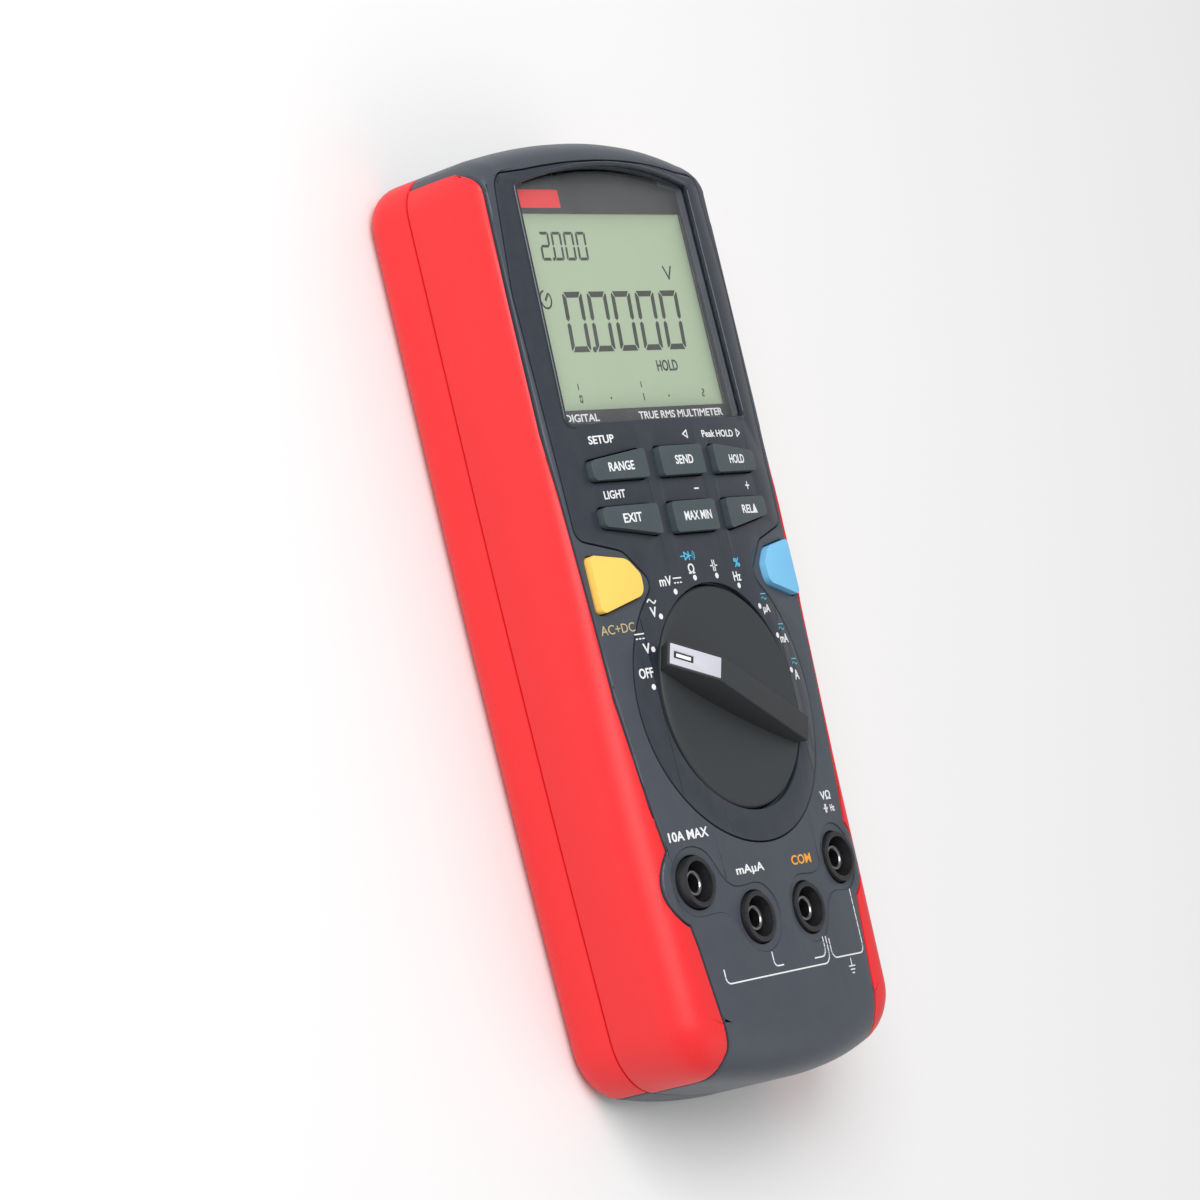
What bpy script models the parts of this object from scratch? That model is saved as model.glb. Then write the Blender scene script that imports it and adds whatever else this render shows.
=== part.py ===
"""Handheld digital multimeter, built as an assembly of separate closed solids.

The meter lies on its back: +X is right, +Y points to the display end and +Z out of the face.
The origin is on the back face, in the middle of the meter's length and width.
Run with blender --background --python part.py, or from the text editor.
"""
import math

import bmesh
import bpy
from mathutils import Matrix, Vector

MM = 0.001
GAP = 0.3 * MM

# Body
HALF_WIDTH = 42.5 * MM
HALF_LENGTH = 102.4 * MM
TOP_END_RADIUS = 190.0 * MM
BOTTOM_END_RADIUS = 164.0 * MM
TOP_CORNER_RADIUS = 9.3 * MM
BOTTOM_CORNER_RADIUS = 12.5 * MM
WAIST_START = 40.0 * MM
WAIST_LENGTH = 140.0 * MM
WAIST_NARROWING = 0.075
CROWN_TOP = 36.0 * MM
CROWN_RADIUS = 207.0 * MM
SEAM_Z = 12.5 * MM
SHELL_GAP = 0.15 * MM
GRIP_THICKNESS = 1.5 * MM
PANEL_THICKNESS = 1.2 * MM
WALL = 3.8 * MM
BACK_WALL = 2.6 * MM

# Edge rounding: width across the face and height down the side
SIDE_ROUND_TOP = 3.0 * MM
SIDE_ROUND_BOTTOM = 8.0 * MM
TOP_END_ROUND = 7.5 * MM
BOTTOM_END_ROUND = 11.0 * MM
FRONT_ROUND_HEIGHT = 9.0 * MM
BACK_ROUND_WIDTH = 5.0 * MM
BACK_ROUND_HEIGHT = 6.0 * MM
ROUND_STEPS = 3
END_STATIONS = 9
END_STATION_REACH = 30.0 * MM
CORNER_STEPS = 3
SIDE_STATIONS = 5

# Display
LENS_BOTTOM_Z = 31.0 * MM
LENS_TOP_Z = 32.2 * MM

# Selector
DIAL_CENTRE = Vector((0.0, -21.6 * MM, 0.0))
DIAL_RADIUS = 24.2 * MM
DIAL_BOTTOM_Z = 31.8 * MM
DIAL_RIM_Z = 35.3 * MM
DIAL_DISH_Z = 33.6 * MM
BAR_ANGLE = math.radians(156.0)
BAR_HALF_WIDTH = 2.85 * MM
BAR_PEAK = (12.8, 42.4)
BAR_TIP = (25.9, 38.2)
BAR_TAIL = (-23.4, 38.2)
PANEL_RING_RADIUS = 31.5 * MM
SHAFT_RADIUS = 5.0 * MM
SHAFT_END_Z = 20.0 * MM
ROTOR_RADIUS = 17.0 * MM
DETENT_Z = 27.0 * MM

# Keys
KEY_BOTTOM_Z = 29.1 * MM
KEY_FLANGE_Z = 29.6 * MM
KEY_PROUD = 1.4 * MM
KEY_FLANGE = 0.8 * MM

# Input jacks: place of each, left to right
JACKS = ((-26.7, -59.0), (-9.5, -68.5), (9.5, -68.5), (26.7, -59.0))
JACK_RIM_RADIUS = 5.5 * MM
JACK_BORE_RADIUS = 4.3 * MM
JACK_POST_RADIUS = 2.8 * MM
JACK_PIN_RADIUS = 2.0 * MM
JACK_POST_DEPTH = 1.75 * MM
JACK_COLLAR_RADIUS = 6.8 * MM
JACK_FOOT_Z = 17.0 * MM

# Case screws: two by the top corners and two by the bottom corners
SCREWS = ((33.0, 91.5), (-33.0, 91.5), (28.5, -89.5), (-28.5, -89.5))
SCREW_SHANK_RADIUS = 1.4 * MM
SCREW_HEAD_RADIUS = 2.8 * MM
BOSS_RADIUS = 3.2 * MM

# Battery studs and the battery door's screw
STUD_X = 6.3 * MM
STUD_RADIUS = 2.8 * MM
DOOR_SCREW_Y = 28.0 * MM

# Tilt stand
STAND_HINGE_Y = 16.0 * MM
STAND_HINGE_Z = 2.0 * MM
STAND_BARREL_RADIUS = 1.3 * MM
STAND_BARREL_LENGTH = 44.0 * MM
STAND_PIN_RADIUS = 0.95 * MM
STAND_PIN_LENGTH = 52.6 * MM

# Fuses: their axis and their clips
FUSE_Y = -38.0 * MM
FUSE_Z = 9.6 * MM
FUSE_RADIUS = 3.0 * MM
FUSE_LENGTH = 25.0 * MM
CLIP_OFFSET_Y = 8.5

# Blocks, in millimetres: lower corner and upper corner
BLOCKS = {
    "display_pad": ((-34.5, 37.5, 29.4), (34.5, 98.0, 33.5)),
    "detent_rib": ((-3.0, -49.0, 23.0), (3.0, -47.0, 32.6)),
    "lcd_window": ((-30.4, 41.8, 25.0), (30.4, 86.8, 40.0)),
    "link_window_hole": ((-6.3, 90.0, 17.0), (6.3, 110.0, 23.6)),
    "link_window": ((-6.0, 98.9, 17.3), (6.0, 102.2, 23.3)),
    "thick_floor": ((-29.0, -80.0, 2.0), (29.0, 95.0, 5.6)),
    "bay_walls": ((-16.0, 31.0, 4.0), (16.0, 90.0, 12.0)),
    "bay_opening": ((-14.4, 32.4, -2.0), (14.4, 88.6, 20.0)),
    "door_recess": ((-19.3, 23.7, -2.0), (19.3, 92.3, 2.8)),
    "battery_door": ((-19.0, 24.0, 0.0), (19.0, 92.0, 2.5)),
    "stand_recess": ((-24.3, -75.5, -2.0), (24.3, 18.2, 3.6)),
    "tilt_stand": ((-24.0, -75.2, 0.4), (24.0, 16.0, 3.2)),
    "lcd_glass": ((-30.0, 42.3, 28.7), (30.0, 86.3, 30.7)),
    "lcd_frame": ((-32.0, 40.6, 25.3), (32.0, 88.3, 28.4)),
    "lcd_frame_opening": ((-29.0, 42.4, 20.0), (29.0, 86.2, 40.0)),
    "backlight_panel": ((-28.5, 45.6, 25.6), (28.5, 83.0, 28.3)),
    "lower_zebra_strip": ((-27.0, 43.0, 25.3), (27.0, 45.2, 28.4)),
    "upper_zebra_strip": ((-27.0, 83.4, 25.3), (27.0, 85.6, 28.4)),
    "keypad_membrane": ((-33.0, -3.0, 25.3), (33.0, 36.5, 27.7)),
    "main_board": ((-33.5, -92.0, 13.5), (33.5, 28.5, 15.1)),
    "display_board": ((-33.0, -4.0, 23.4), (33.0, 92.5, 25.0)),
    "board_header": ((-20.0, 20.0, 15.4), (20.0, 23.0, 23.1)),
    "measuring_chip": ((-7.0, 1.0, 15.4), (7.0, 15.0, 17.2)),
    "battery_9v": ((-13.25, 33.0, 3.1), (13.25, 81.5, 20.1)),
    "battery_terminal_block": ((-13.0, 82.0, 6.0), (13.0, 87.8, 23.1)),
}
ON_BOARD_Z = 15.4 * MM

RED_RUBBER = ((0.93, 0.07, 0.06), 0.42, 0.0)
DARK_PLASTIC = ((0.075, 0.09, 0.105), 0.45, 0.0)
PANEL_PLASTIC = ((0.035, 0.042, 0.055), 0.35, 0.0)
KEY_RUBBER = ((0.075, 0.105, 0.115), 0.5, 0.0)
YELLOW_RUBBER = ((0.98, 0.6, 0.12), 0.45, 0.0)
BLUE_RUBBER = ((0.2, 0.55, 0.85), 0.45, 0.0)
KNOB_PLASTIC = ((0.03, 0.035, 0.04), 0.4, 0.0)
LIGHT_PLASTIC = ((0.55, 0.55, 0.62), 0.4, 0.0)
BLACK_PLASTIC = ((0.01, 0.01, 0.012), 0.4, 0.0)
CLEAR_PLASTIC = ((0.8, 0.85, 0.85), 0.05, 0.0)
LCD_GLASS = ((0.38, 0.46, 0.31), 0.3, 0.0)
WHITE_PLASTIC = ((0.85, 0.85, 0.82), 0.4, 0.0)
BOARD_GREEN = ((0.02, 0.2, 0.07), 0.5, 0.0)
SOFT_GREY = ((0.25, 0.26, 0.27), 0.7, 0.0)
BRASS = ((0.78, 0.57, 0.25), 0.3, 1.0)
STEEL = ((0.6, 0.6, 0.62), 0.3, 1.0)
COPPER = ((0.8, 0.4, 0.25), 0.3, 1.0)
CERAMIC = ((0.88, 0.87, 0.82), 0.5, 0.0)


# ---------------------------------------------------------------- scene helpers

def clear_scene():
    """Remove whatever objects the file holds."""
    for old in list(bpy.data.objects):
        bpy.data.objects.remove(old, do_unlink=True)


def make_collection(name):
    """A collection under the scene's own."""
    collection = bpy.data.collections.new(name)
    bpy.context.scene.collection.children.link(collection)
    return collection


clear_scene()
PARTS = make_collection("multimeter")
CUTTERS = make_collection("cutters")


def principled(name, finish):
    """A Principled material from a finish: colour, roughness, metallic."""
    colour, roughness, metallic = finish
    material = bpy.data.materials.new(name)
    material.use_nodes = True
    shader = material.node_tree.nodes["Principled BSDF"]
    shader.inputs["Base Color"].default_value = (*colour, 1.0)
    shader.inputs["Roughness"].default_value = roughness
    shader.inputs["Metallic"].default_value = metallic
    return material


def new_object(name, mesh, collection):
    """An object for a mesh, in a collection."""
    obj = bpy.data.objects.new(name, mesh)
    collection.objects.link(obj)
    return obj


def as_part(obj, finish, smooth_angle=35.0):
    """Put a solid among the parts and give it its own material and shading."""
    for collection in list(obj.users_collection):
        collection.objects.unlink(obj)
    PARTS.objects.link(obj)
    obj.data.materials.clear()
    obj.data.materials.append(principled(obj.name + "_finish", finish))
    obj.data.shade_smooth()
    obj.data.set_sharp_from_angle(angle=math.radians(smooth_angle))
    return obj


def from_bmesh(name, shape):
    """A new guide object from a bmesh, with welded corners and faces pointing out."""
    bmesh.ops.remove_doubles(shape, verts=shape.verts, dist=1e-6)
    bmesh.ops.recalc_face_normals(shape, faces=shape.faces)
    mesh = bpy.data.meshes.new(name)
    shape.to_mesh(mesh)
    shape.free()
    obj = new_object(name, mesh, CUTTERS)
    obj.hide_render = True
    obj.display_type = "WIRE"
    return obj


def shown(obj):
    """A guide that is to be a part: visible again."""
    obj.hide_render = False
    obj.display_type = "TEXTURED"
    return obj


def boolean(target, tool, operation):
    """Cut, join or intersect a solid with another by a live Boolean modifier."""
    modifier = target.modifiers.new(operation.lower() + "_" + tool.name, "BOOLEAN")
    modifier.operation = operation
    modifier.solver = "EXACT"
    modifier.object = tool
    return target


def cut(target, *tools):
    """Take each tool's volume out of the target."""
    for tool in tools:
        boolean(target, tool, "DIFFERENCE")
    return target


def join(target, *tools):
    """Add each tool's volume to the target."""
    for tool in tools:
        boolean(target, tool, "UNION")
    return target


def keep_inside(target, tool):
    """Keep only the volume that the target shares with the tool."""
    return boolean(target, tool, "INTERSECT")


def evaluated_copy(obj):
    """The mesh of an object with its modifiers or its curve worked out."""
    bpy.context.view_layer.update()
    depsgraph = bpy.context.evaluated_depsgraph_get()
    return bpy.data.meshes.new_from_object(obj.evaluated_get(depsgraph))


def move_origin(obj, point):
    """Put an object's origin at a point and leave its shape where it is."""
    obj.data.transform(Matrix.Translation(-Vector(point)))
    obj.location = point
    return obj


def hang_on(empty, *objects):
    """Parent objects to an empty that sits on their joint's axis."""
    for obj in objects:
        obj.data.transform(Matrix.Translation(-empty.location))
        obj.parent = empty


def axis_empty(name, point):
    """An empty on a joint's axis."""
    empty = bpy.data.objects.new(name, None)
    empty.empty_display_size = 0.01
    empty.location = point
    PARTS.objects.link(empty)
    return empty


# ---------------------------------------------------------------- shape helpers

def block_shape(corners):
    """A bmesh of a block between two corners, given in millimetres."""
    low, high = (Vector(corner) * MM for corner in corners)
    shape = bmesh.new()
    place = Matrix.Translation((low + high) / 2) @ Matrix.Diagonal((*(high - low), 1.0))
    bmesh.ops.create_cube(shape, size=1.0, matrix=place)
    return shape


def box(name, low=None, high=None):
    """A block between two corners in millimetres, or by its name from the table of blocks."""
    return from_bmesh(name, block_shape(BLOCKS[name] if low is None else (low, high)))


def rounded_box(name, radius, axis="Z", steps=2):
    """A block from the table, with its four edges along one axis rounded."""
    shape = block_shape(BLOCKS[name])
    index = "XYZ".index(axis)
    edges = [edge for edge in shape.edges
             if abs((edge.verts[0].co - edge.verts[1].co)[index]) > 1e-6]
    bmesh.ops.bevel(shape, geom=edges, offset=radius * MM, segments=steps, profile=0.5,
                    affect="EDGES")
    return from_bmesh(name, shape)


def cylinder(name, centre, radius, length, axis="Z", sides=24, end_radius=None):
    """A cylinder or cone, in metres, centred on a point with its axis along X, Y or Z."""
    turns = {"X": Matrix.Rotation(math.pi / 2, 4, "Y"),
             "Y": Matrix.Rotation(math.pi / 2, 4, "X"),
             "Z": Matrix.Identity(4)}
    shape = bmesh.new()
    bmesh.ops.create_cone(shape, cap_ends=True, segments=sides, radius1=radius,
                          radius2=radius if end_radius is None else end_radius, depth=length,
                          matrix=Matrix.Translation(centre) @ turns[axis])
    return from_bmesh(name, shape)


def upright(name, x, y, radius, low, high, sides=16):
    """An upright cylinder, in metres, from one height to another."""
    return cylinder(name, (x, y, (low + high) / 2), radius, high - low, "Z", sides)


def outline_solid(name, points, low, high):
    """A flat outline given thickness: a filled 2D curve made into a welded mesh."""
    curve = bpy.data.curves.new(name + "_outline", "CURVE")
    curve.dimensions = "2D"
    curve.fill_mode = "BOTH"
    curve.extrude = (high - low) / 2
    curve.render_resolution_u = 0
    spline = curve.splines.new("POLY")
    spline.points.add(len(points) - 1)
    for knot, (x, y) in zip(spline.points, points):
        knot.co = (x, y, 0.0, 1.0)
    spline.use_cyclic_u = True
    flat = new_object(name + "_outline", curve, CUTTERS)
    mesh = evaluated_copy(flat)
    bpy.data.objects.remove(flat, do_unlink=True)
    mesh.transform(Matrix.Translation((0, 0, (low + high) / 2)))
    shape = bmesh.new()
    shape.from_mesh(mesh)
    bpy.data.meshes.remove(mesh)
    return from_bmesh(name, shape)


def turned(name, profile, centre, steps=24):
    """A turned solid: a closed profile of (radius, height) in metres, screwed about Z."""
    mesh = bpy.data.meshes.new(name + "_profile")
    count = len(profile)
    on_axis = profile[0][0] == 0 and profile[-1][0] == 0
    links = count - 1 if on_axis else count
    mesh.from_pydata([(radius, 0.0, height) for radius, height in profile],
                     [(k, (k + 1) % count) for k in range(links)], [])
    rough = new_object(name + "_profile", mesh, CUTTERS)
    screw = rough.modifiers.new("turn", "SCREW")
    screw.steps = steps
    screw.render_steps = steps
    screw.use_merge_vertices = True
    screw.merge_threshold = 1e-6
    solid = evaluated_copy(rough)
    bpy.data.objects.remove(rough, do_unlink=True)
    solid.transform(Matrix.Translation(centre))
    shape = bmesh.new()
    shape.from_mesh(solid)
    bpy.data.meshes.remove(solid)
    return from_bmesh(name, shape)


def wire(name, route, thickness):
    """A round wire along a route of points: a poly curve with filled caps, made a mesh."""
    curve = bpy.data.curves.new(name + "_route", "CURVE")
    curve.dimensions = "3D"
    curve.bevel_depth = thickness / 2
    curve.bevel_resolution = 1
    curve.use_fill_caps = True
    curve.render_resolution_u = 0
    spline = curve.splines.new("POLY")
    spline.points.add(len(route) - 1)
    for knot, point in zip(spline.points, route):
        knot.co = (*point, 1.0)
    path = new_object(name + "_route", curve, CUTTERS)
    mesh = evaluated_copy(path)
    bpy.data.objects.remove(path, do_unlink=True)
    shape = bmesh.new()
    shape.from_mesh(mesh)
    bpy.data.meshes.remove(mesh)
    return from_bmesh(name, shape)


def rounded(corners, steps=2):
    """An outline in metres from corners (x, y, radius) in millimetres, each corner an arc."""
    points = []
    count = len(corners)
    for k, (x, y, radius) in enumerate(corners):
        corner = Vector((x, y))
        before = (Vector(corners[k - 1][:2]) - corner).normalized()
        after = (Vector(corners[(k + 1) % count][:2]) - corner).normalized()
        if radius == 0:
            points.append(tuple(corner * MM))
            continue
        half_angle = before.angle(after) / 2
        reach = radius / math.tan(half_angle)
        centre = corner + (before + after).normalized() * (radius / math.sin(half_angle))
        start = corner + before * reach - centre
        turn = (corner + after * reach - centre).angle_signed(start)
        for step in range(steps + 1):
            angle = turn * step / steps
            spoke = Matrix.Rotation(angle, 2) @ start
            points.append(tuple((centre + spoke) * MM))
    return points


def grown(points, distance):
    """An outline moved outwards by a distance, its corners kept sharp."""
    area = sum(a[0] * b[1] - b[0] * a[1] for a, b in zip(points, points[1:] + points[:1]))
    side = 1.0 if area > 0 else -1.0
    result = []
    count = len(points)
    for k in range(count):
        here = Vector(points[k])
        before = (here - Vector(points[k - 1])).normalized()
        after = (Vector(points[(k + 1) % count]) - here).normalized()
        normal_before = Vector((before.y, -before.x)) * side
        normal_after = Vector((after.y, -after.x)) * side
        middle = (normal_before + normal_after).normalized()
        result.append(tuple(here + middle * distance / max(middle.dot(normal_before), 0.5)))
    return result


def mirrored(points, side):
    """An outline as it is for side +1, or reflected to -X for side -1."""
    return [(x * side, y) for x, y in points]


# ---------------------------------------------------------------- the body's own surface

def crown(x):
    """Height of the crowned face at a distance from the centre line."""
    return CROWN_TOP - x * x / (2 * CROWN_RADIUS)


def waist(y):
    """Factor by which the body narrows towards the input end."""
    below = max(0.0, WAIST_START - y) / WAIST_LENGTH
    return 1.0 - WAIST_NARROWING * below * below


def smooth_step(value):
    """An easy ramp from 0 to 1."""
    value = min(max(value, 0.0), 1.0)
    return value * value * (3.0 - 2.0 * value)


def end_centre(radius, side):
    """Height along Y of the centre of an end's arc."""
    return side * (HALF_LENGTH - radius)


def corner_centre(end_radius, corner_radius, side):
    """Centre of the arc that joins an end's arc to the straight side."""
    x = HALF_WIDTH - corner_radius
    reach = math.sqrt((end_radius - corner_radius) ** 2 - x * x)
    return Vector((x, end_centre(end_radius, side) + side * reach))


def half_rim():
    """The right half of the rim, from the bottom to the top: three runs of (point, normal)."""
    low = corner_centre(BOTTOM_END_RADIUS, BOTTOM_CORNER_RADIUS, -1)
    high = corner_centre(TOP_END_RADIUS, TOP_CORNER_RADIUS, 1)
    low_start = math.atan2(low.y - end_centre(BOTTOM_END_RADIUS, -1), low.x)
    high_end = math.atan2(high.y - end_centre(TOP_END_RADIUS, 1), high.x)

    def arc(centre, radius, start, end):
        run = []
        for step in range(CORNER_STEPS + 1):
            angle = start + (end - start) * step / CORNER_STEPS
            normal = Vector((math.cos(angle), math.sin(angle)))
            run.append((centre + normal * radius, normal))
        return run

    low_run = arc(low, BOTTOM_CORNER_RADIUS, low_start, 0.0)
    high_run = arc(high, TOP_CORNER_RADIUS, 0.0, high_end)
    side_run = []
    for step in range(1, SIDE_STATIONS):
        y = low.y + (high.y - low.y) * step / SIDE_STATIONS
        side_run.append((Vector((HALF_WIDTH, y)), Vector((1.0, 0.0))))
    return low_run, side_run, high_run


def end_run(radius, side):
    """The middle of an end's arc, from left to right: (point, normal) pairs."""
    run = []
    for step in range(END_STATIONS + 1):
        x = END_STATION_REACH * (2.0 * step / END_STATIONS - 1.0)
        drop = math.sqrt(radius * radius - x * x)
        normal = Vector((x, side * drop)) / radius
        run.append((Vector((x, end_centre(radius, side) + side * drop)), normal))
    return run


def rim():
    """The whole rim anticlockwise, with the count of points in each of its runs."""
    low_run, side_run, high_run = half_rim()
    right = low_run + side_run + high_run
    left = [(Vector((-p.x, p.y)), Vector((-n.x, n.y))) for p, n in reversed(right)]
    bottom = end_run(BOTTOM_END_RADIUS, -1)
    top = list(reversed(end_run(TOP_END_RADIUS, 1)))
    return bottom + right + top + left, (len(bottom), len(right), len(top), len(left))


def front_round(point, normal):
    """Width over which the face rolls down into the side at a point of the rim."""
    blend = smooth_step((20.0 * MM - point.y) / (70.0 * MM))
    side = SIDE_ROUND_TOP + (SIDE_ROUND_BOTTOM - SIDE_ROUND_TOP) * blend
    end = TOP_END_ROUND if normal.y > 0 else BOTTOM_END_ROUND
    share = normal.y * normal.y
    return side * (1.0 - share) + end * share


def moved_in(point, normal, distance):
    """A point of the rim moved towards the middle, on the waisted outline."""
    x, y = point - normal * distance
    return x * waist(y), y


def front_form(name, inset, low):
    """The crowned front of the body, moved in by an inset, from a height up to its face."""
    points, counts = rim()
    height = max(FRONT_ROUND_HEIGHT - inset, 1.0 * MM)
    rings = [[(*moved_in(p, n, inset), low) for p, n in points]]
    for step in range(ROUND_STEPS + 1):
        angle = math.pi / 2 * step / ROUND_STEPS
        ring = []
        for point, normal in points:
            width = max(front_round(point, normal) - inset, 0.3 * MM)
            inner_x, _ = moved_in(point, normal, inset + width)
            x, y = moved_in(point, normal, inset + width * (1.0 - math.cos(angle)))
            ring.append((x, y, crown(inner_x) - inset - height * (1.0 - math.sin(angle))))
        rings.append(ring)
    shape = bmesh.new()
    layers = [[shape.verts.new(place) for place in ring] for ring in rings]
    stitch(shape, layers)
    shape.faces.new(list(reversed(layers[0])))
    crown_cap(shape, layers[-1], counts, inset)
    bmesh.ops.triangulate(shape, faces=shape.faces)
    return from_bmesh(name, shape)


def stitch(shape, layers):
    """Bands of faces between rings that have the same number of corners."""
    for below, above in zip(layers, layers[1:]):
        count = len(below)
        for k in range(count):
            after = (k + 1) % count
            shape.faces.new((below[k], below[after], above[after], above[k]))


def crown_cap(shape, ring, counts, inset):
    """Close the crowned face with strips along Y, so that the crown stays true."""
    bottom_count, right_count, top_count, _ = counts
    bottom = ring[:bottom_count]
    right = ring[bottom_count:bottom_count + right_count]
    top = list(reversed(ring[bottom_count + right_count:bottom_count + right_count + top_count]))
    left = list(reversed(ring[bottom_count + right_count + top_count:]))
    edge_right = side_line(shape, bottom[-1], top[-1], right, inset)
    edge_left = side_line(shape, bottom[0], top[0], left, inset)
    last = bottom_count - 2
    for k in range(bottom_count - 1):
        start = edge_left if k == 0 else [bottom[k], top[k]]
        end = edge_right if k == last else [bottom[k + 1], top[k + 1]]
        shape.faces.new(list(reversed(start)) + end)
    corner = CORNER_STEPS + 1
    for side, line, flip in ((right, edge_right, False), (left, edge_left, True)):
        straight = side[corner - 1:len(side) - corner + 1]
        patches = [[line[k + 1], straight[k], straight[k + 1], line[k + 2]]
                   for k in range(len(straight) - 1)]
        patches.append([line[0]] + side[:corner] + [line[1]])
        patches.append([line[-2]] + side[-corner:] + [line[-1]])
        for patch in patches:
            shape.faces.new(list(reversed(patch)) if flip else patch)


def side_line(shape, low, high, side, inset):
    """Corners on the crown between two ends' stations, one beside each point of the side."""
    corner = CORNER_STEPS
    line = [low]
    for vertex in side[corner:len(side) - corner]:
        share = (vertex.co.y - low.co.y) / (high.co.y - low.co.y)
        x = low.co.x + (high.co.x - low.co.x) * share
        line.append(shape.verts.new((x, vertex.co.y, crown(x) - inset)))
    return line + [high]


def rear_form(name, inset, low, high):
    """The rear of the body, moved in by an inset, from its floor up to a height."""
    points, _ = rim()
    width = max(BACK_ROUND_WIDTH - inset, 0.5 * MM)
    rise = max(BACK_ROUND_HEIGHT - low, 0.5 * MM)
    rings = []
    for step in range(ROUND_STEPS + 1):
        angle = math.pi / 2 * (1.0 - step / ROUND_STEPS)
        depth = low + rise * (1.0 - math.sin(angle))
        rings.append([(*moved_in(p, n, inset + width * (1.0 - math.cos(angle))), depth)
                      for p, n in points])
    rings.append([(*moved_in(p, n, inset), high) for p, n in points])
    shape = bmesh.new()
    layers = [[shape.verts.new(place) for place in ring] for ring in rings]
    stitch(shape, layers)
    shape.faces.new(list(reversed(layers[0])))
    shape.faces.new(layers[-1])
    bmesh.ops.triangulate(shape, faces=shape.faces)
    return from_bmesh(name, shape)


# ---------------------------------------------------------------- outlines on the face

def grip_border(side, back_off=0.0):
    """The region of a front grip: everything outboard of its border with the grey case."""
    jack = Vector(JACKS[3])
    bump = [(jack.x + 9.8 * math.cos(math.radians(a)), jack.y + 9.8 * math.sin(math.radians(a)))
            for a in range(47, -65, -16)]
    border = [(34.5, 112.0, 0), (34.5, 102.0, 3), (40.0, 96.0, 4), (40.2, 68.0, 20),
              (40.2, 38.0, 20), (37.6, -19.0, 10), (35.3, -40.0, 5)]
    border += [(x, y, 0) for x, y in bump]
    border += [(30.6, -72.0, 5), (27.8, -94.0, 4), (30.0, -102.0, 4), (30.0, -112.0, 0),
               (60.0, -112.0, 0), (60.0, 112.0, 0)]
    return mirrored(grown(rounded(border), -back_off), side)


def panel_outline():
    """The dark centre panel: round the display and keys, then round the dial."""
    side = [(36.9, 93.9, 3.5), (39.4, 68.5, 30), (38.2, 28.8, 30), (38.0, 15.2, 3),
            (25.5, 11.8, 5), (18.4, 4.2, 3), (23.3, -0.5, 0)]
    right = rounded([(0.0, 60.0, 0), (21.4, 95.6, 0)] + side)[2:]
    ring = []
    for step in range(1, 19):
        angle = math.radians(42.0 - 132.0 * step / 18)
        ring.append((PANEL_RING_RADIUS * math.cos(angle),
                     DIAL_CENTRE.y + PANEL_RING_RADIUS * math.sin(angle)))
    top = [(x * MM, panel_top(x) * MM) for x in (0.0, 5.5, 11.0, 16.5, 22.0, 27.5)]
    half = top + right + ring
    left = [(-x, y) for x, y in reversed(half[1:-1])]
    return half + left


def panel_top(x):
    """Height along Y of the panel's arched top edge, in millimetres."""
    return 96.3 - x * x / 446.0


def lens_outline():
    """The display lens: straight foot, nearly straight sides and an arched head."""
    head = [(x, 95.2 - x * x / 250.0, 0) for x in (-24.0, -16.0, -8.0, 0.0, 8.0, 16.0, 24.0)]
    corners = [(-32.6, 39.6, 1.5), (32.6, 39.6, 1.5), (31.2, 91.4, 1.0)]
    return rounded(corners + list(reversed(head)) + [(-31.2, 91.4, 1.0)])


KEYS = {
    "range_key": [(-30.2, 26.9, 1.2), (-12.8, 26.6, 0.8), (-12.8, 33.0, 0.8), (-30.2, 31.2, 1.2)],
    "send_key": [(-7.9, 26.6, 0.8), (7.9, 26.6, 0.8), (7.9, 33.0, 0.8), (-7.9, 33.0, 0.8)],
    "hold_key": [(12.8, 26.6, 0.8), (30.2, 26.9, 1.2), (30.2, 31.2, 1.2), (12.8, 33.0, 0.8)],
    "exit_key": [(-30.2, 17.0, 1.2), (-12.8, 14.2, 0.8), (-12.8, 20.9, 0.8), (-30.2, 21.1, 1.2)],
    "max_min_key": [(-7.9, 14.2, 0.8), (7.9, 14.2, 0.8), (7.9, 20.9, 0.8), (-7.9, 20.9, 0.8)],
    "relative_key": [(12.8, 14.2, 0.8), (30.2, 17.0, 1.2), (30.2, 21.1, 1.2), (12.8, 20.9, 0.8)],
}
SIDE_KEY = [(37.0, -1.2, 1.2), (37.0, 11.5, 1.2), (26.5, 9.8, 4), (23.3, 6.2, 2.5), (23.6, 1.9, 2.5)]
SIDE_KEY_FLANGE = [(31.0, -0.6, 0), (31.0, 11.4, 0), (26.2, 10.7, 3), (22.4, 6.5, 2), (22.8, 1.2, 2)]


# ---------------------------------------------------------------- shells and grips

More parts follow.
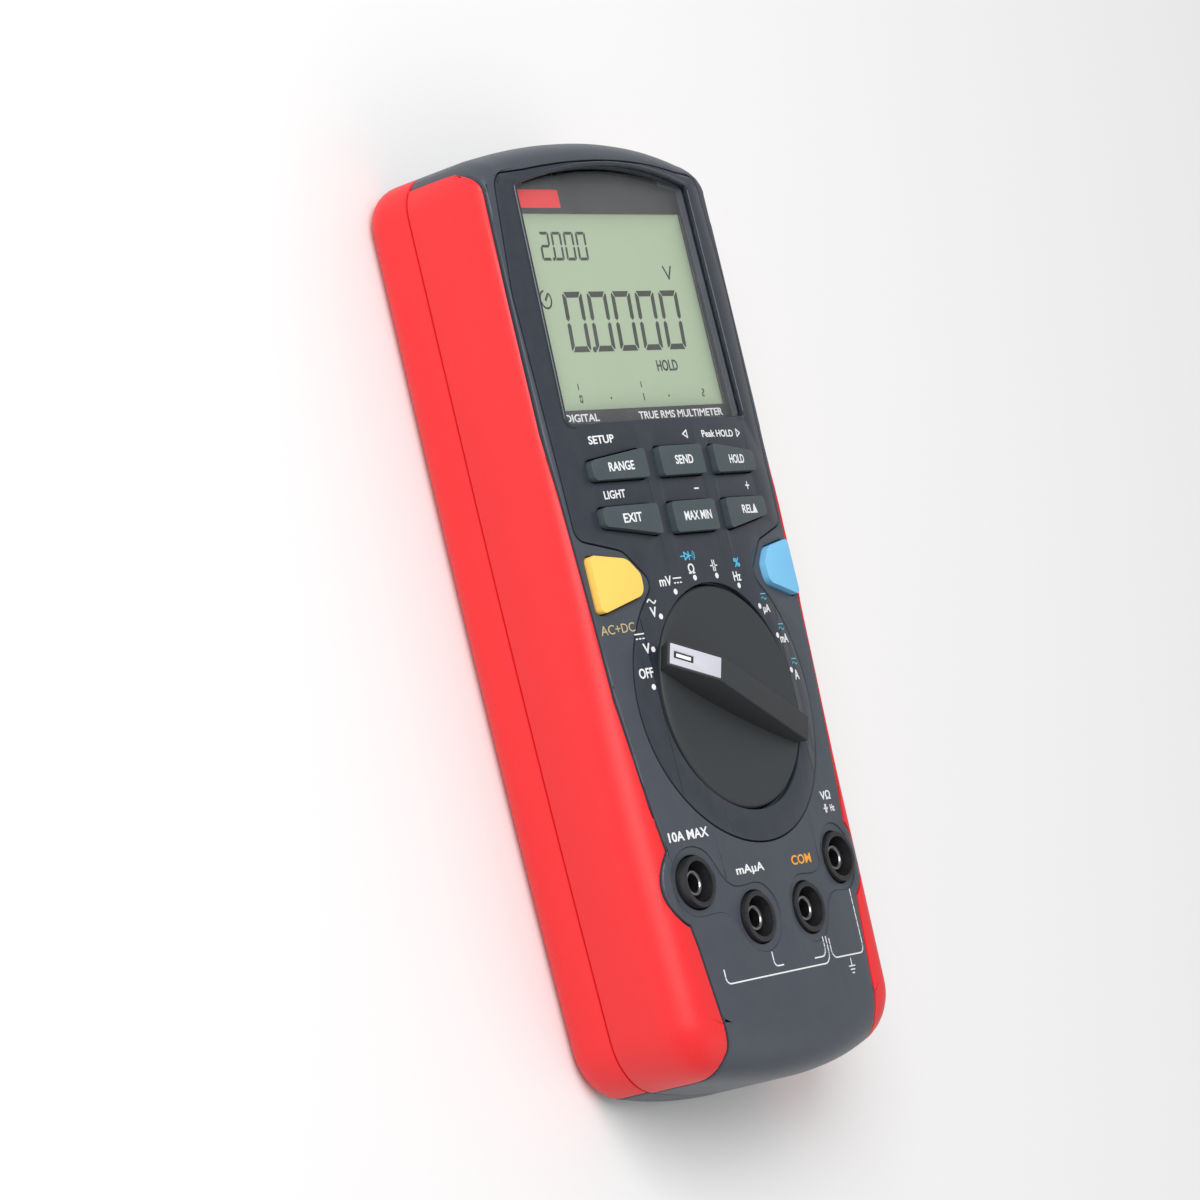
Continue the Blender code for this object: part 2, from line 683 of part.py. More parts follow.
def shell_guides():
    """The forms and cutters that several of the outer pieces share."""
    low = SEAM_Z + SHELL_GAP
    below = SEAM_Z - 6.0 * MM
    guides = {
        "front_seat": front_form("front_seat", GRIP_THICKNESS + GAP, below),
        "front_skin": front_form("front_skin", GRIP_THICKNESS, below),
        "panel_seat": front_form("panel_seat", PANEL_THICKNESS + GAP, below),
        "panel_skin": front_form("panel_skin", PANEL_THICKNESS, below),
        "front_hollow": front_form("front_hollow", WALL, below),
        "key_tops": front_form("key_tops", -KEY_PROUD, low),
        "pad_limit": front_form("pad_limit", 1.9 * MM, low),
    }
    high = SEAM_Z + 6.0 * MM
    seat = GRIP_THICKNESS + GAP
    guides["rear_seat"] = rear_form("rear_seat", seat, seat, high)
    guides["rear_skin"] = rear_form("rear_skin", GRIP_THICKNESS, GRIP_THICKNESS, high)
    guides["rear_limit"] = rear_form("rear_limit", 1.9 * MM, 1.9 * MM, high)
    guides["rear_hollow"] = rear_form("rear_hollow", WALL, BACK_WALL, high)
    lens = lens_outline()
    guides["lens_pit"] = outline_solid("lens_pit", grown(lens, GAP), LENS_BOTTOM_Z - GAP, 50 * MM)
    guides["dial_pit"] = upright("dial_pit", *DIAL_CENTRE.xy, DIAL_RADIUS + 0.5 * MM,
                                 DIAL_BOTTOM_Z - GAP, 50 * MM, 32)
    for name, corners in KEYS.items():
        hole = grown(rounded(corners), GAP)
        guides[name + "_hole"] = outline_solid(name + "_hole", hole, 20 * MM, 50 * MM)
    return guides


def face_holes(guides):
    """The cutters that pass through both the front case and the centre panel."""
    holes = [guides["lens_pit"], guides["dial_pit"]]
    return holes + [guides[name + "_hole"] for name in KEYS]


def make_front_case(guides):
    """The grey front shell, hollow, with its seats, pits, holes and screw bosses."""
    case = shown(front_form("front_case", 0.0, SEAM_Z + SHELL_GAP))
    for name, side in (("left", -1), ("right", 1)):
        region = outline_solid(name + "_front_grip_seat", grip_border(side), 0.0, 50 * MM)
        cut(region, guides["front_seat"])
        cut(case, region)
    recess = outline_solid("panel_recess", grown(panel_outline(), GAP), 0.0, 50 * MM)
    cut(recess, guides["panel_seat"])
    cut(case, recess, guides["front_hollow"])
    display_pad = box("display_pad")
    join(case, keep_inside(display_pad, guides["pad_limit"]))
    dial_pad = upright("dial_pad", *DIAL_CENTRE.xy, 27.5 * MM, 29.0 * MM, 32.4 * MM, 24)
    join(case, dial_pad)
    for k, (x, y) in enumerate(SCREWS):
        boss = upright("front_boss_%d" % (k + 1), x * MM, y * MM, BOSS_RADIUS,
                       SEAM_Z + 0.8 * MM, 34.0 * MM, 12)
        join(case, keep_inside(boss, guides["pad_limit"]))
    rib = box("detent_rib")
    join(case, rib)
    window = box("lcd_window")
    shaft_hole = upright("shaft_hole", *DIAL_CENTRE.xy, SHAFT_RADIUS + GAP, 25 * MM, 40 * MM)
    cut(case, *face_holes(guides), window, shaft_hole)
    for name, side in (("yellow", -1), ("blue", 1)):
        hole = mirrored(grown(rounded(SIDE_KEY), GAP), side)
        cut(case, outline_solid(name + "_key_hole", hole, 20 * MM, 50 * MM))
    for k, (x, y) in enumerate(JACKS):
        cut(case, upright("jack_hole_%d" % (k + 1), x * MM, y * MM,
                          JACK_RIM_RADIUS + GAP, 20 * MM, 50 * MM, 16))
    for k, (x, y) in enumerate(SCREWS):
        cut(case, upright("pilot_hole_%d" % (k + 1), x * MM, y * MM,
                          SCREW_SHANK_RADIUS + GAP, 5 * MM, 22 * MM, 16))
    cut(case, box("link_window_hole"))
    return as_part(case, DARK_PLASTIC)


def make_centre_panel(guides):
    """The thin dark panel let into the face round the display, keys and dial."""
    panel = shown(outline_solid("centre_panel", panel_outline(), 20 * MM, 50 * MM))
    limit = front_form("panel_top_form", 0.0, SEAM_Z)
    keep_inside(panel, limit)
    cut(panel, guides["panel_skin"], *face_holes(guides))
    return as_part(panel, PANEL_PLASTIC)


def make_front_grips(guides):
    """The red rubber that wraps the front shell's sides."""
    limit = front_form("grip_form", 0.0, SEAM_Z + SHELL_GAP)
    for name, side in (("left", -1), ("right", 1)):
        grip = shown(outline_solid(name + "_front_grip", grip_border(side, GAP), 0.0, 50 * MM))
        keep_inside(grip, limit)
        cut(grip, guides["front_skin"])
        as_part(grip, RED_RUBBER)


def rear_region(side, back_off=0.0):
    """The region of a rear grip: the side of the rear shell."""
    region = [(31.0, 112.0, 0), (31.0, 100.0, 3), (36.3, 92.0, 3)]
    for y in (40.0, 0.0, -40.0, -80.0):
        region.append((36.3 * waist(y * MM), y, 5))
    region += [(31.0, -95.0, 3), (29.0, -112.0, 0), (60.0, -112.0, 0), (60.0, 112.0, 0)]
    return mirrored(grown(rounded(region), -back_off), side)


def make_rear_case(guides):
    """The rear shell: floor, battery bay, stand recess, screw holes."""
    case = shown(rear_form("rear_case", 0.0, 0.0, SEAM_Z - SHELL_GAP))
    for name, side in (("left", -1), ("right", 1)):
        region = outline_solid(name + "_rear_grip_seat", rear_region(side), -5 * MM, 30 * MM)
        cut(region, guides["rear_seat"])
        cut(case, region)
    cut(case, guides["rear_hollow"])
    floor = box("thick_floor")
    join(case, floor)
    for k, (x, y) in enumerate(SCREWS):
        boss = upright("rear_boss_%d" % (k + 1), x * MM, y * MM, BOSS_RADIUS + 0.6 * MM,
                       2.0 * MM, SEAM_Z - 0.4 * MM, 12)
        join(case, keep_inside(boss, guides["rear_limit"]))
    walls = box("bay_walls")
    bay = box("bay_opening")
    recess = rounded_box("door_recess", 2.3)
    stand_recess = rounded_box("stand_recess", 2.3)
    pin_holes = cylinder("stand_pin_holes", (0.0, STAND_HINGE_Y, STAND_HINGE_Z),
                         STAND_PIN_RADIUS + GAP, STAND_PIN_LENGTH + 0.8 * MM, "X", 16)
    finger_dip = cylinder("finger_dip", (0.0, -76.0 * MM, 0.0), 6.0 * MM, 5.0 * MM, "Z", 24)
    join(case, walls)
    cut(case, bay, recess, stand_recess, pin_holes, finger_dip)
    cut(case, upright("door_pilot", 0.0, DOOR_SCREW_Y, 1.4 * MM, -1 * MM, 5.0 * MM, 16))
    for k, (x, y) in enumerate(SCREWS):
        place = (x * MM, y * MM)
        cut(case, upright("screw_hole_%d" % (k + 1), *place, SCREW_SHANK_RADIUS + GAP,
                          -1 * MM, 15 * MM, 16))
        cut(case, upright("screw_sink_%d" % (k + 1), *place, SCREW_HEAD_RADIUS + GAP,
                          -1 * MM, 3.0 * MM, 16))
    return as_part(case, DARK_PLASTIC)


def make_rear_grips(guides):
    """The red rubber on the rear shell's sides."""
    limit = rear_form("rear_grip_form", 0.0, 0.0, SEAM_Z - SHELL_GAP)
    for name, side in (("left", -1), ("right", 1)):
        region = rear_region(side, GAP)
        grip = shown(outline_solid(name + "_rear_grip", region, -5 * MM, 30 * MM))
        keep_inside(grip, limit)
        cut(grip, guides["rear_skin"])
        as_part(grip, RED_RUBBER)


# ---------------------------------------------------------------- display

def make_display():
    """Lens, liquid crystal glass, its frame, backlight and contact strips."""
    as_part(shown(outline_solid("display_lens", lens_outline(), LENS_BOTTOM_Z, LENS_TOP_Z)),
            CLEAR_PLASTIC)
    as_part(shown(box("lcd_glass")), LCD_GLASS)
    frame = shown(rounded_box("lcd_frame", 1.5))
    cut(frame, box("lcd_frame_opening"))
    as_part(frame, WHITE_PLASTIC)
    as_part(shown(box("backlight_panel")), WHITE_PLASTIC)
    as_part(shown(box("lower_zebra_strip")), SOFT_GREY)
    as_part(shown(box("upper_zebra_strip")), SOFT_GREY)


# ---------------------------------------------------------------- keys

def make_key(name, outline, flange, guides, finish):
    """A key: its cap follows the crown, and its flange is held under the face."""
    key = shown(outline_solid(name, outline, KEY_BOTTOM_Z + 0.2 * MM, 45 * MM))
    join(key, outline_solid(name + "_flange", flange, KEY_BOTTOM_Z, KEY_FLANGE_Z))
    keep_inside(key, guides["key_tops"])
    middle = sum((Vector(point) for point in outline), Vector((0.0, 0.0))) / len(outline)
    return move_origin(as_part(key, finish), (*middle, KEY_BOTTOM_Z))


def make_keys(guides):
    """Six grey keys in two rows, a yellow and a blue one, and the rubber sheet under them."""
    for name, corners in KEYS.items():
        outline = rounded(corners)
        make_key(name, outline, grown(outline, KEY_FLANGE), guides, KEY_RUBBER)
    for name, side, finish in (("yellow_key", -1, YELLOW_RUBBER), ("blue_key", 1, BLUE_RUBBER)):
        outline = mirrored(rounded(SIDE_KEY), side)
        flange = mirrored(rounded(SIDE_KEY_FLANGE), side)
        make_key(name, outline, flange, guides, finish)
    sheet = rounded_box("keypad_membrane", 2.0)
    as_part(shown(sheet), SOFT_GREY)


# ---------------------------------------------------------------- selector

def bar_outline(start, end, half_width):
    """A straight bar on the dial, from one distance along its pointing line to another."""
    along = Vector((math.cos(BAR_ANGLE), math.sin(BAR_ANGLE)))
    across = Vector((-along.y, along.x)) * half_width
    centre = DIAL_CENTRE.xy
    return [tuple(centre + along * start - across), tuple(centre + along * end - across),
            tuple(centre + along * end + across), tuple(centre + along * start + across)]


def bar_solid(name, profile, half_width):
    """A solid on the dial's pointing line: a side profile, in millimetres, given a width."""
    along = Vector((math.cos(BAR_ANGLE), math.sin(BAR_ANGLE), 0.0))
    across = Vector((-along.y, along.x, 0.0)) * half_width
    shape = bmesh.new()
    near, far = [[shape.verts.new(DIAL_CENTRE + along * distance * MM + across * way
                                  + Vector((0.0, 0.0, height * MM)))
                  for distance, height in profile] for way in (-1, 1)]
    shape.faces.new(near)
    shape.faces.new(list(reversed(far)))
    for k in range(len(near)):
        after = (k + 1) % len(near)
        shape.faces.new((near[k], far[k], far[after], near[after]))
    bmesh.ops.triangulate(shape, faces=shape.faces)
    return from_bmesh(name, shape)


def under_pointer_top(name, start, end, low_depth, high_depth, half_width):
    """A slab along the bar's sloping pointer end, between two depths under its top."""
    slope = (BAR_TIP[1] - BAR_PEAK[1]) / (BAR_TIP[0] - BAR_PEAK[0])

    def top(distance):
        return BAR_PEAK[1] + slope * (distance - BAR_PEAK[0])

    return bar_solid(name, [(start, top(start) - low_depth), (end, top(end) - low_depth),
                            (end, top(end) - high_depth), (start, top(start) - high_depth)],
                     half_width)


def make_selector():
    """The dial with its bar, the rotor under it, its wiper and its detent."""
    axis = axis_empty("selector_axis", DIAL_CENTRE)
    dish = [(0.0, DIAL_DISH_Z), (7.0 * MM, DIAL_DISH_Z + 0.1 * MM),
            (16.0 * MM, DIAL_DISH_Z + 0.7 * MM), (22.6 * MM, DIAL_RIM_Z),
            (23.6 * MM, DIAL_RIM_Z), (DIAL_RADIUS, DIAL_RIM_Z - 0.6 * MM),
            (DIAL_RADIUS, DIAL_BOTTOM_Z), (SHAFT_RADIUS, DIAL_BOTTOM_Z),
            (SHAFT_RADIUS, SHAFT_END_Z), (0.0, SHAFT_END_Z)]
    knob = shown(turned("dial_knob", dish, DIAL_CENTRE, 32))
    bar = bar_solid("dial_bar", [(-22.6, 33.0), BAR_TAIL, BAR_PEAK, BAR_TIP, (22.2, 33.0)],
                    BAR_HALF_WIDTH)
    join(knob, bar)
    cut(knob, under_pointer_top("pointer_seat", 12.7, 25.3, 1.0, -3.0, 2.5 * MM))
    as_part(knob, KNOB_PLASTIC)
    insert = shown(under_pointer_top("pointer_insert", 13.0, 25.0, 0.7, 0.0, 2.2 * MM))
    cut(insert, under_pointer_top("pointer_mark", 19.4, 24.3, 0.3, -3.0, 0.5 * MM))
    as_part(insert, LIGHT_PLASTIC)
    bore = SHAFT_RADIUS + GAP
    spool = [(bore, 28.3 * MM), (ROTOR_RADIUS, 28.3 * MM), (ROTOR_RADIUS, 25.7 * MM),
             (8.0 * MM, 25.7 * MM), (8.0 * MM, 18.6 * MM), (ROTOR_RADIUS, 18.6 * MM),
             (ROTOR_RADIUS, 16.6 * MM), (bore, 16.6 * MM)]
    rotor = shown(turned("selector_rotor", spool, DIAL_CENTRE, 24))
    as_part(rotor, WHITE_PLASTIC)
    wiper = outline_solid("selector_wiper", bar_outline(9.0 * MM, 15.5 * MM, 1.2 * MM),
                          ON_BOARD_Z, 16.3 * MM)
    as_part(shown(wiper), BRASS)
    hang_on(axis, knob, insert, rotor, wiper)
    ball_shape = bmesh.new()
    bmesh.ops.create_uvsphere(ball_shape, u_segments=10, v_segments=6, radius=1.2 * MM,
                              matrix=Matrix.Translation((0.0, -40.1 * MM, DETENT_Z)))
    as_part(shown(from_bmesh("detent_ball", ball_shape)), STEEL)
    turns = 3
    per_turn = 8
    coil = []
    for step in range(turns * per_turn + 1):
        angle = 2 * math.pi * step / per_turn
        along = -41.9 * MM - 4.5 * MM * step / (turns * per_turn)
        coil.append((1.0 * MM * math.cos(angle), along, DETENT_Z + 1.0 * MM * math.sin(angle)))
    as_part(shown(wire("detent_spring", coil, 0.4 * MM)), STEEL)


# ---------------------------------------------------------------- jacks

def make_jacks():
    """Four shrouded 4 mm jacks: a black sleeve, and the contact tube in its middle."""
    for k, (x, y) in enumerate(JACKS):
        place = (x * MM, y * MM, 0.0)
        top = crown(max(abs(x * MM) - JACK_RIM_RADIUS, 0.0)) + 0.1 * MM
        cup = [(JACK_BORE_RADIUS, top), (JACK_RIM_RADIUS, top), (JACK_RIM_RADIUS, 28.0 * MM),
               (JACK_COLLAR_RADIUS, 28.0 * MM), (JACK_COLLAR_RADIUS, 26.6 * MM),
               (JACK_RIM_RADIUS, 26.6 * MM), (JACK_RIM_RADIUS, JACK_FOOT_Z),
               (JACK_POST_RADIUS + GAP, JACK_FOOT_Z),
               (JACK_POST_RADIUS + GAP, JACK_FOOT_Z + 1.5 * MM),
               (JACK_BORE_RADIUS, JACK_FOOT_Z + 1.5 * MM)]
        as_part(shown(turned("jack_sleeve_%d" % (k + 1), cup, place, 16)), BLACK_PLASTIC)
        tube = [(0.0, JACK_FOOT_Z), (JACK_PIN_RADIUS, JACK_FOOT_Z),
                (JACK_PIN_RADIUS, top - JACK_POST_DEPTH),
                (JACK_POST_RADIUS, top - JACK_POST_DEPTH),
                (JACK_POST_RADIUS, ON_BOARD_Z), (0.0, ON_BOARD_Z)]
        as_part(shown(turned("jack_contact_%d" % (k + 1), tube, place, 16)), BRASS)


# ---------------------------------------------------------------- boards and electrics

def board_notches(board):
    """Clear the screw bosses out of a board."""
    for k, (x, y) in enumerate(SCREWS):
        notch = upright("%s_notch_%d" % (board.name, k + 1), x * MM, y * MM,
                        BOSS_RADIUS + 1.0 * MM, 0.0, 40 * MM, 16)
        cut(board, notch)


def make_boards():
    """The main board under the dial and jacks, and the display board over the battery."""
    main = shown(rounded_box("main_board", 3.0))
    board_notches(main)
    as_part(main, BOARD_GREEN)
    display = shown(rounded_box("display_board", 3.0))
    board_notches(display)
    as_part(display, BOARD_GREEN)
    as_part(shown(box("board_header")), BLACK_PLASTIC)
    as_part(shown(box("measuring_chip")), BLACK_PLASTIC)
    as_part(shown(upright("buzzer", -25.5 * MM, -38.0 * MM, 6.0 * MM, ON_BOARD_Z, 21.0 * MM)),
            BLACK_PLASTIC)
    shunt = [(-12.0, 15.5), (-12.0, 20.5), (-10.5, 22.0), (10.5, 22.0), (12.0, 20.5),
             (12.0, 15.5)]
    route = [(x * MM, -80.0 * MM, z * MM) for x, z in shunt]
    as_part(shown(wire("current_shunt", route, 1.8 * MM)), COPPER)


def make_fuses():
    """Two fuses under the main board, each between two spring clips."""
    for name, x in (("high_current_fuse", -12.0), ("low_current_fuse", 12.0)):
        body = cylinder(name, (x * MM, FUSE_Y, FUSE_Z), FUSE_RADIUS, FUSE_LENGTH, "Y", 20)
        as_part(shown(body), CERAMIC)
        for end, offset in (("upper", CLIP_OFFSET_Y), ("lower", -CLIP_OFFSET_Y)):
            y = FUSE_Y / MM + offset
            clip_name = "%s_%s_clip" % (name.replace("_fuse", ""), end)
            clip = shown(box(clip_name, (x - 4.2, y - 2.5, 6.6), (x + 4.2, y + 2.5, 13.2)))
            slot = cylinder(clip_name + "_slot", (x * MM, y * MM, FUSE_Z), FUSE_RADIUS + GAP,
                            10 * MM, "Y", 20)
            mouth = box(clip_name + "_mouth", (x - 2.4, y - 5.0, 5.0), (x + 2.4, y + 5.0, 9.0))
            cut(clip, slot, mouth)
            as_part(clip, BRASS)


def make_power():
    """The 9 V battery, its terminal block, the battery door and the door's screw."""
    battery = shown(rounded_box("battery_9v", 2.0, "Y"))
    (_, _, low_z), (_, end, high_z) = BLOCKS["battery_9v"]
    middle = (low_z + high_z) / 2 * MM
    for k, x in enumerate((-STUD_X, STUD_X)):
        join(battery, cylinder("battery_stud_%d" % (k + 1), (x, (end + 0.8) * MM, middle),
                               STUD_RADIUS, 2.4 * MM, "Y", 12))
    as_part(battery, STEEL)
    block = shown(box("battery_terminal_block"))
    for k, x in enumerate((-STUD_X, STUD_X)):
        cut(block, cylinder("stud_socket_%d" % (k + 1), (x, (end + 1.5) * MM, middle),
                            STUD_RADIUS + 0.5 * MM, 4.0 * MM, "Y", 12))
    as_part(block, BLACK_PLASTIC)
    door = shown(rounded_box("battery_door", 2.0))
    cut(door, upright("door_hole", 0.0, DOOR_SCREW_Y, 1.6 * MM, -1 * MM, 5 * MM, 16))
    cut(door, upright("door_sink", 0.0, DOOR_SCREW_Y, 2.9 * MM, -1 * MM, 1.3 * MM, 16))
    as_part(door, DARK_PLASTIC)


def screw(name, x, y, head_radius, shank_radius, low, head_top, end):
    """A pan head screw pointing up, with a cross in its head, all in metres."""
    profile = [(0.0, end), (shank_radius, end), (shank_radius, head_top),
               (head_radius, head_top), (head_radius, low), (0.0, low)]
    solid = shown(turned(name, profile, (x, y, 0.0), 16))
    arm = head_radius * 1.2
    for index, size in enumerate(((arm, 0.5 * MM), (0.5 * MM, arm))):
        slot = box("%s_slot_%d" % (name, index + 1),
                   ((x - size[0] / 2) / MM, (y - size[1] / 2) / MM, (low - 0.001) / MM),
                   ((x + size[0] / 2) / MM, (y + size[1] / 2) / MM, low / MM + 0.9))
        cut(solid, slot)
    return as_part(solid, STEEL)


def make_screws():
    """Four case screws from the back and the battery door's screw."""
    for k, (x, y) in enumerate(SCREWS):
        screw("case_screw_%d" % (k + 1), x * MM, y * MM, SCREW_HEAD_RADIUS, SCREW_SHANK_RADIUS,
              0.6 * MM, 2.7 * MM, 20.0 * MM)
    screw("battery_door_screw", 0.0, DOOR_SCREW_Y, 2.6 * MM, 1.1 * MM, 0.3 * MM, 1.0 * MM,
          4.7 * MM)


# ---------------------------------------------------------------- stand and link window

def make_stand():
    """The tilt stand, folded into the back, on two stub pins."""
    axis = axis_empty("stand_axis", (0.0, STAND_HINGE_Y, STAND_HINGE_Z))
    stand = shown(rounded_box("tilt_stand", 2.0))
    place = (0.0, STAND_HINGE_Y, STAND_HINGE_Z)
    join(stand, cylinder("stand_barrel", place, STAND_BARREL_RADIUS, STAND_BARREL_LENGTH, "X", 16))
    join(stand, cylinder("stand_pins", place, STAND_PIN_RADIUS, STAND_PIN_LENGTH, "X", 16))
    as_part(stand, DARK_PLASTIC)
    hang_on(axis, stand)


def make_link_window():
    """The dark window of the optical data link, in the top end wall."""
    window = shown(box("link_window"))
    as_part(window, ((0.12, 0.01, 0.02), 0.15, 0.0))


def build():
    """Make every piece of the meter."""
    guides = shell_guides()
    make_front_case(guides)
    make_centre_panel(guides)
    make_front_grips(guides)
    make_rear_case(guides)
    make_rear_grips(guides)
    make_display()
    make_keys(guides)
    make_selector()
    make_jacks()
    make_boards()
    make_fuses()
    make_power()
    make_screws()
    make_stand()
    make_link_window()


build()
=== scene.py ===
"""Visual model of a handheld digital multimeter, laid out as an add-on and run as a script.

The meter lies on its back: +X is right, +Y points to the display end and +Z out of the face.
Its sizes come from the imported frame, in metres.
"""
import math
import bmesh
import bpy
from bpy.props import FloatProperty, FloatVectorProperty, PointerProperty
from mathutils import Matrix, Vector


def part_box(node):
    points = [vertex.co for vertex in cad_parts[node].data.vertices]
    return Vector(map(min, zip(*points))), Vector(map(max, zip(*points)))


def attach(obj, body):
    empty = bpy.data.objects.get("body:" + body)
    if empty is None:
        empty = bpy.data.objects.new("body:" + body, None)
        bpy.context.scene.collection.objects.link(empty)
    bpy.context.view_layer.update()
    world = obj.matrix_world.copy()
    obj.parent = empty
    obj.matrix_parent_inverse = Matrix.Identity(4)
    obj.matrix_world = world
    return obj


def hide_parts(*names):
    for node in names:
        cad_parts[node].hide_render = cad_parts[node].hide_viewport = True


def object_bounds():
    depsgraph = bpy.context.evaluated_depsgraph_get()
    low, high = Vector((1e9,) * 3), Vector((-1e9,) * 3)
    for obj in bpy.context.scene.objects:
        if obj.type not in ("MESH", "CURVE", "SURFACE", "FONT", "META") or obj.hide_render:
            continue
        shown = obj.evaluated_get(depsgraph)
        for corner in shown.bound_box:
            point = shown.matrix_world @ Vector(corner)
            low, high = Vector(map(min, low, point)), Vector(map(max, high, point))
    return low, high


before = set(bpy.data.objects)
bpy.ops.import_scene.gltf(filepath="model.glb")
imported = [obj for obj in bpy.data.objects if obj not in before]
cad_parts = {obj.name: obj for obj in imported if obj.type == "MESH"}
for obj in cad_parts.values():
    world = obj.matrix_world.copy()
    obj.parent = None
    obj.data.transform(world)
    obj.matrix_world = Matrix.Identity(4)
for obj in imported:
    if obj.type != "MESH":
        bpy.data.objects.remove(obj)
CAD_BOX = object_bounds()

bl_info = {
    "name": "Handheld Multimeter",
    "version": (1, 0, 0),
    "blender": (4, 5, 0),
    "location": "View3D > Sidebar > Multimeter",
    "description": "Builds the outside, printing and finishes of a handheld digital multimeter",
    "category": "Object",
}

MM = 0.001

# ---------------------------------------------------------------- sizes from the frame

CASE_LOW, CASE_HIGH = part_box("front_case")
REAR_LOW, REAR_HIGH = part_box("rear_case")
LENS_LOW, LENS_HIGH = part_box("display_lens")
GLASS_LOW, GLASS_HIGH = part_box("lcd_glass")
KNOB_LOW, KNOB_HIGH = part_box("dial_knob")
DOOR_LOW, DOOR_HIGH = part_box("battery_door")
STAND_LOW, STAND_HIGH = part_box("tilt_stand")
WINDOW_LOW, WINDOW_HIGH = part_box("link_window")

HALF_WIDTH = (CAD_BOX[1].x - CAD_BOX[0].x) / 2
HALF_LENGTH = (CAD_BOX[1].y - CAD_BOX[0].y) / 2
TOP_END_RADIUS = 190.0 * MM
BOTTOM_END_RADIUS = 164.0 * MM
TOP_CORNER_RADIUS = 9.3 * MM
BOTTOM_CORNER_RADIUS = 12.5 * MM
WAIST_START = 40.0 * MM
WAIST_LENGTH = 140.0 * MM
WAIST_NARROWING = 0.075
CROWN_TOP = 36.0 * MM
CROWN_RADIUS = 207.0 * MM
SEAM_LOW = REAR_HIGH.z
SEAM_HIGH = CASE_LOW.z
GAP = 0.3 * MM
GRIP_THICKNESS = 1.5 * MM
PANEL_THICKNESS = 1.2 * MM
WALL = 3.8 * MM
BACK_WALL = 2.6 * MM

SIDE_ROUND_TOP = 3.0 * MM
SIDE_ROUND_BOTTOM = 8.0 * MM
TOP_END_ROUND = 7.5 * MM
BOTTOM_END_ROUND = 11.0 * MM
FRONT_ROUND_HEIGHT = 9.0 * MM
BACK_ROUND_WIDTH = 5.0 * MM
BACK_ROUND_HEIGHT = 6.0 * MM
END_STATION_REACH = 30.0 * MM

DIAL_CENTRE = Vector((0.0, -21.6 * MM, 0.0))
DIAL_RADIUS = 24.2 * MM
DIAL_BOTTOM_Z = 31.8 * MM
DIAL_RIM_Z = 35.3 * MM
DIAL_DISH_Z = 33.6 * MM
BAR_ANGLE = math.radians(156.0)
BAR_HALF_WIDTH = 2.85 * MM
BAR_PEAK = (12.8, 42.4)
BAR_TIP = (25.9, 38.2)
BAR_TAIL = (-23.4, 38.2)
PANEL_RING_RADIUS = 31.5 * MM
SHAFT_RADIUS = 5.0 * MM
DOT_RADIUS = 26.3 * MM

KEY_BOTTOM_Z = 29.1 * MM
KEY_FLANGE_Z = 29.6 * MM
KEY_PROUD = 1.4 * MM

JACK_NODES = ("jack_sleeve_1", "jack_sleeve_2", "jack_sleeve_3", "jack_sleeve_4")
JACKS = [sum(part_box(node), Vector((0.0, 0.0, 0.0))) / 2 for node in JACK_NODES]
JACK_RIM_RADIUS = 5.5 * MM
JACK_BORE_RADIUS = 4.3 * MM
JACK_POST_RADIUS = 2.8 * MM
JACK_PIN_RADIUS = 2.0 * MM
JACK_COLLAR_RADIUS = 6.8 * MM
JACK_COLLAR_LOW = 26.6 * MM
JACK_COLLAR_HIGH = 28.0 * MM
JACK_FOOT_Z = 17.0 * MM
JACK_ISLAND_RADIUS = 7.5 * MM
JACK_ISLAND_WAIST = 3.4 * MM
BEZEL_WIDTH = 1.0 * MM
JACK_ISLAND_DEPTH = 0.45 * MM

SCREW_NODES = ("case_screw_1", "case_screw_2", "case_screw_3", "case_screw_4")
SCREWS = [sum(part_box(node), Vector((0.0, 0.0, 0.0))) / 2 for node in SCREW_NODES]
SCREW_SHANK_RADIUS = 1.4 * MM
SCREW_HEAD_RADIUS = 2.8 * MM
BOSS_RADIUS = 3.2 * MM
BOSS_TOP_Z = 34.0 * MM
DOOR_SCREW_Y = 28.0 * MM

HINGE_Y = 16.0 * MM
HINGE_Z = 2.0 * MM

# Blocks cut out of the shells or added to them, in millimetres: lower and upper corner
BLOCKS = {
    "display_pad": ((-34.5, 37.5, 29.4), (34.5, 98.0, 33.5)),
    "detent_rib": ((-3.0, -49.0, 23.0), (3.0, -47.0, 32.6)),
    "lcd_opening": ((-30.4, 41.8, 25.0), (30.4, 86.8, 40.0)),
    "link_opening": ((-6.3, 90.0, 17.0), (6.3, 110.0, 23.6)),
    "thick_floor": ((-29.0, -80.0, 2.0), (29.0, 95.0, 5.6)),
    "bay_walls": ((-16.0, 31.0, 4.0), (16.0, 90.0, 12.0)),
    "bay_opening": ((-14.4, 32.4, -2.0), (14.4, 88.6, 20.0)),
    "door_recess": ((-19.3, 23.7, -2.0), (19.3, 92.3, 2.8)),
    "stand_recess": ((-24.3, -75.5, -2.0), (24.3, 18.2, 3.6)),
}

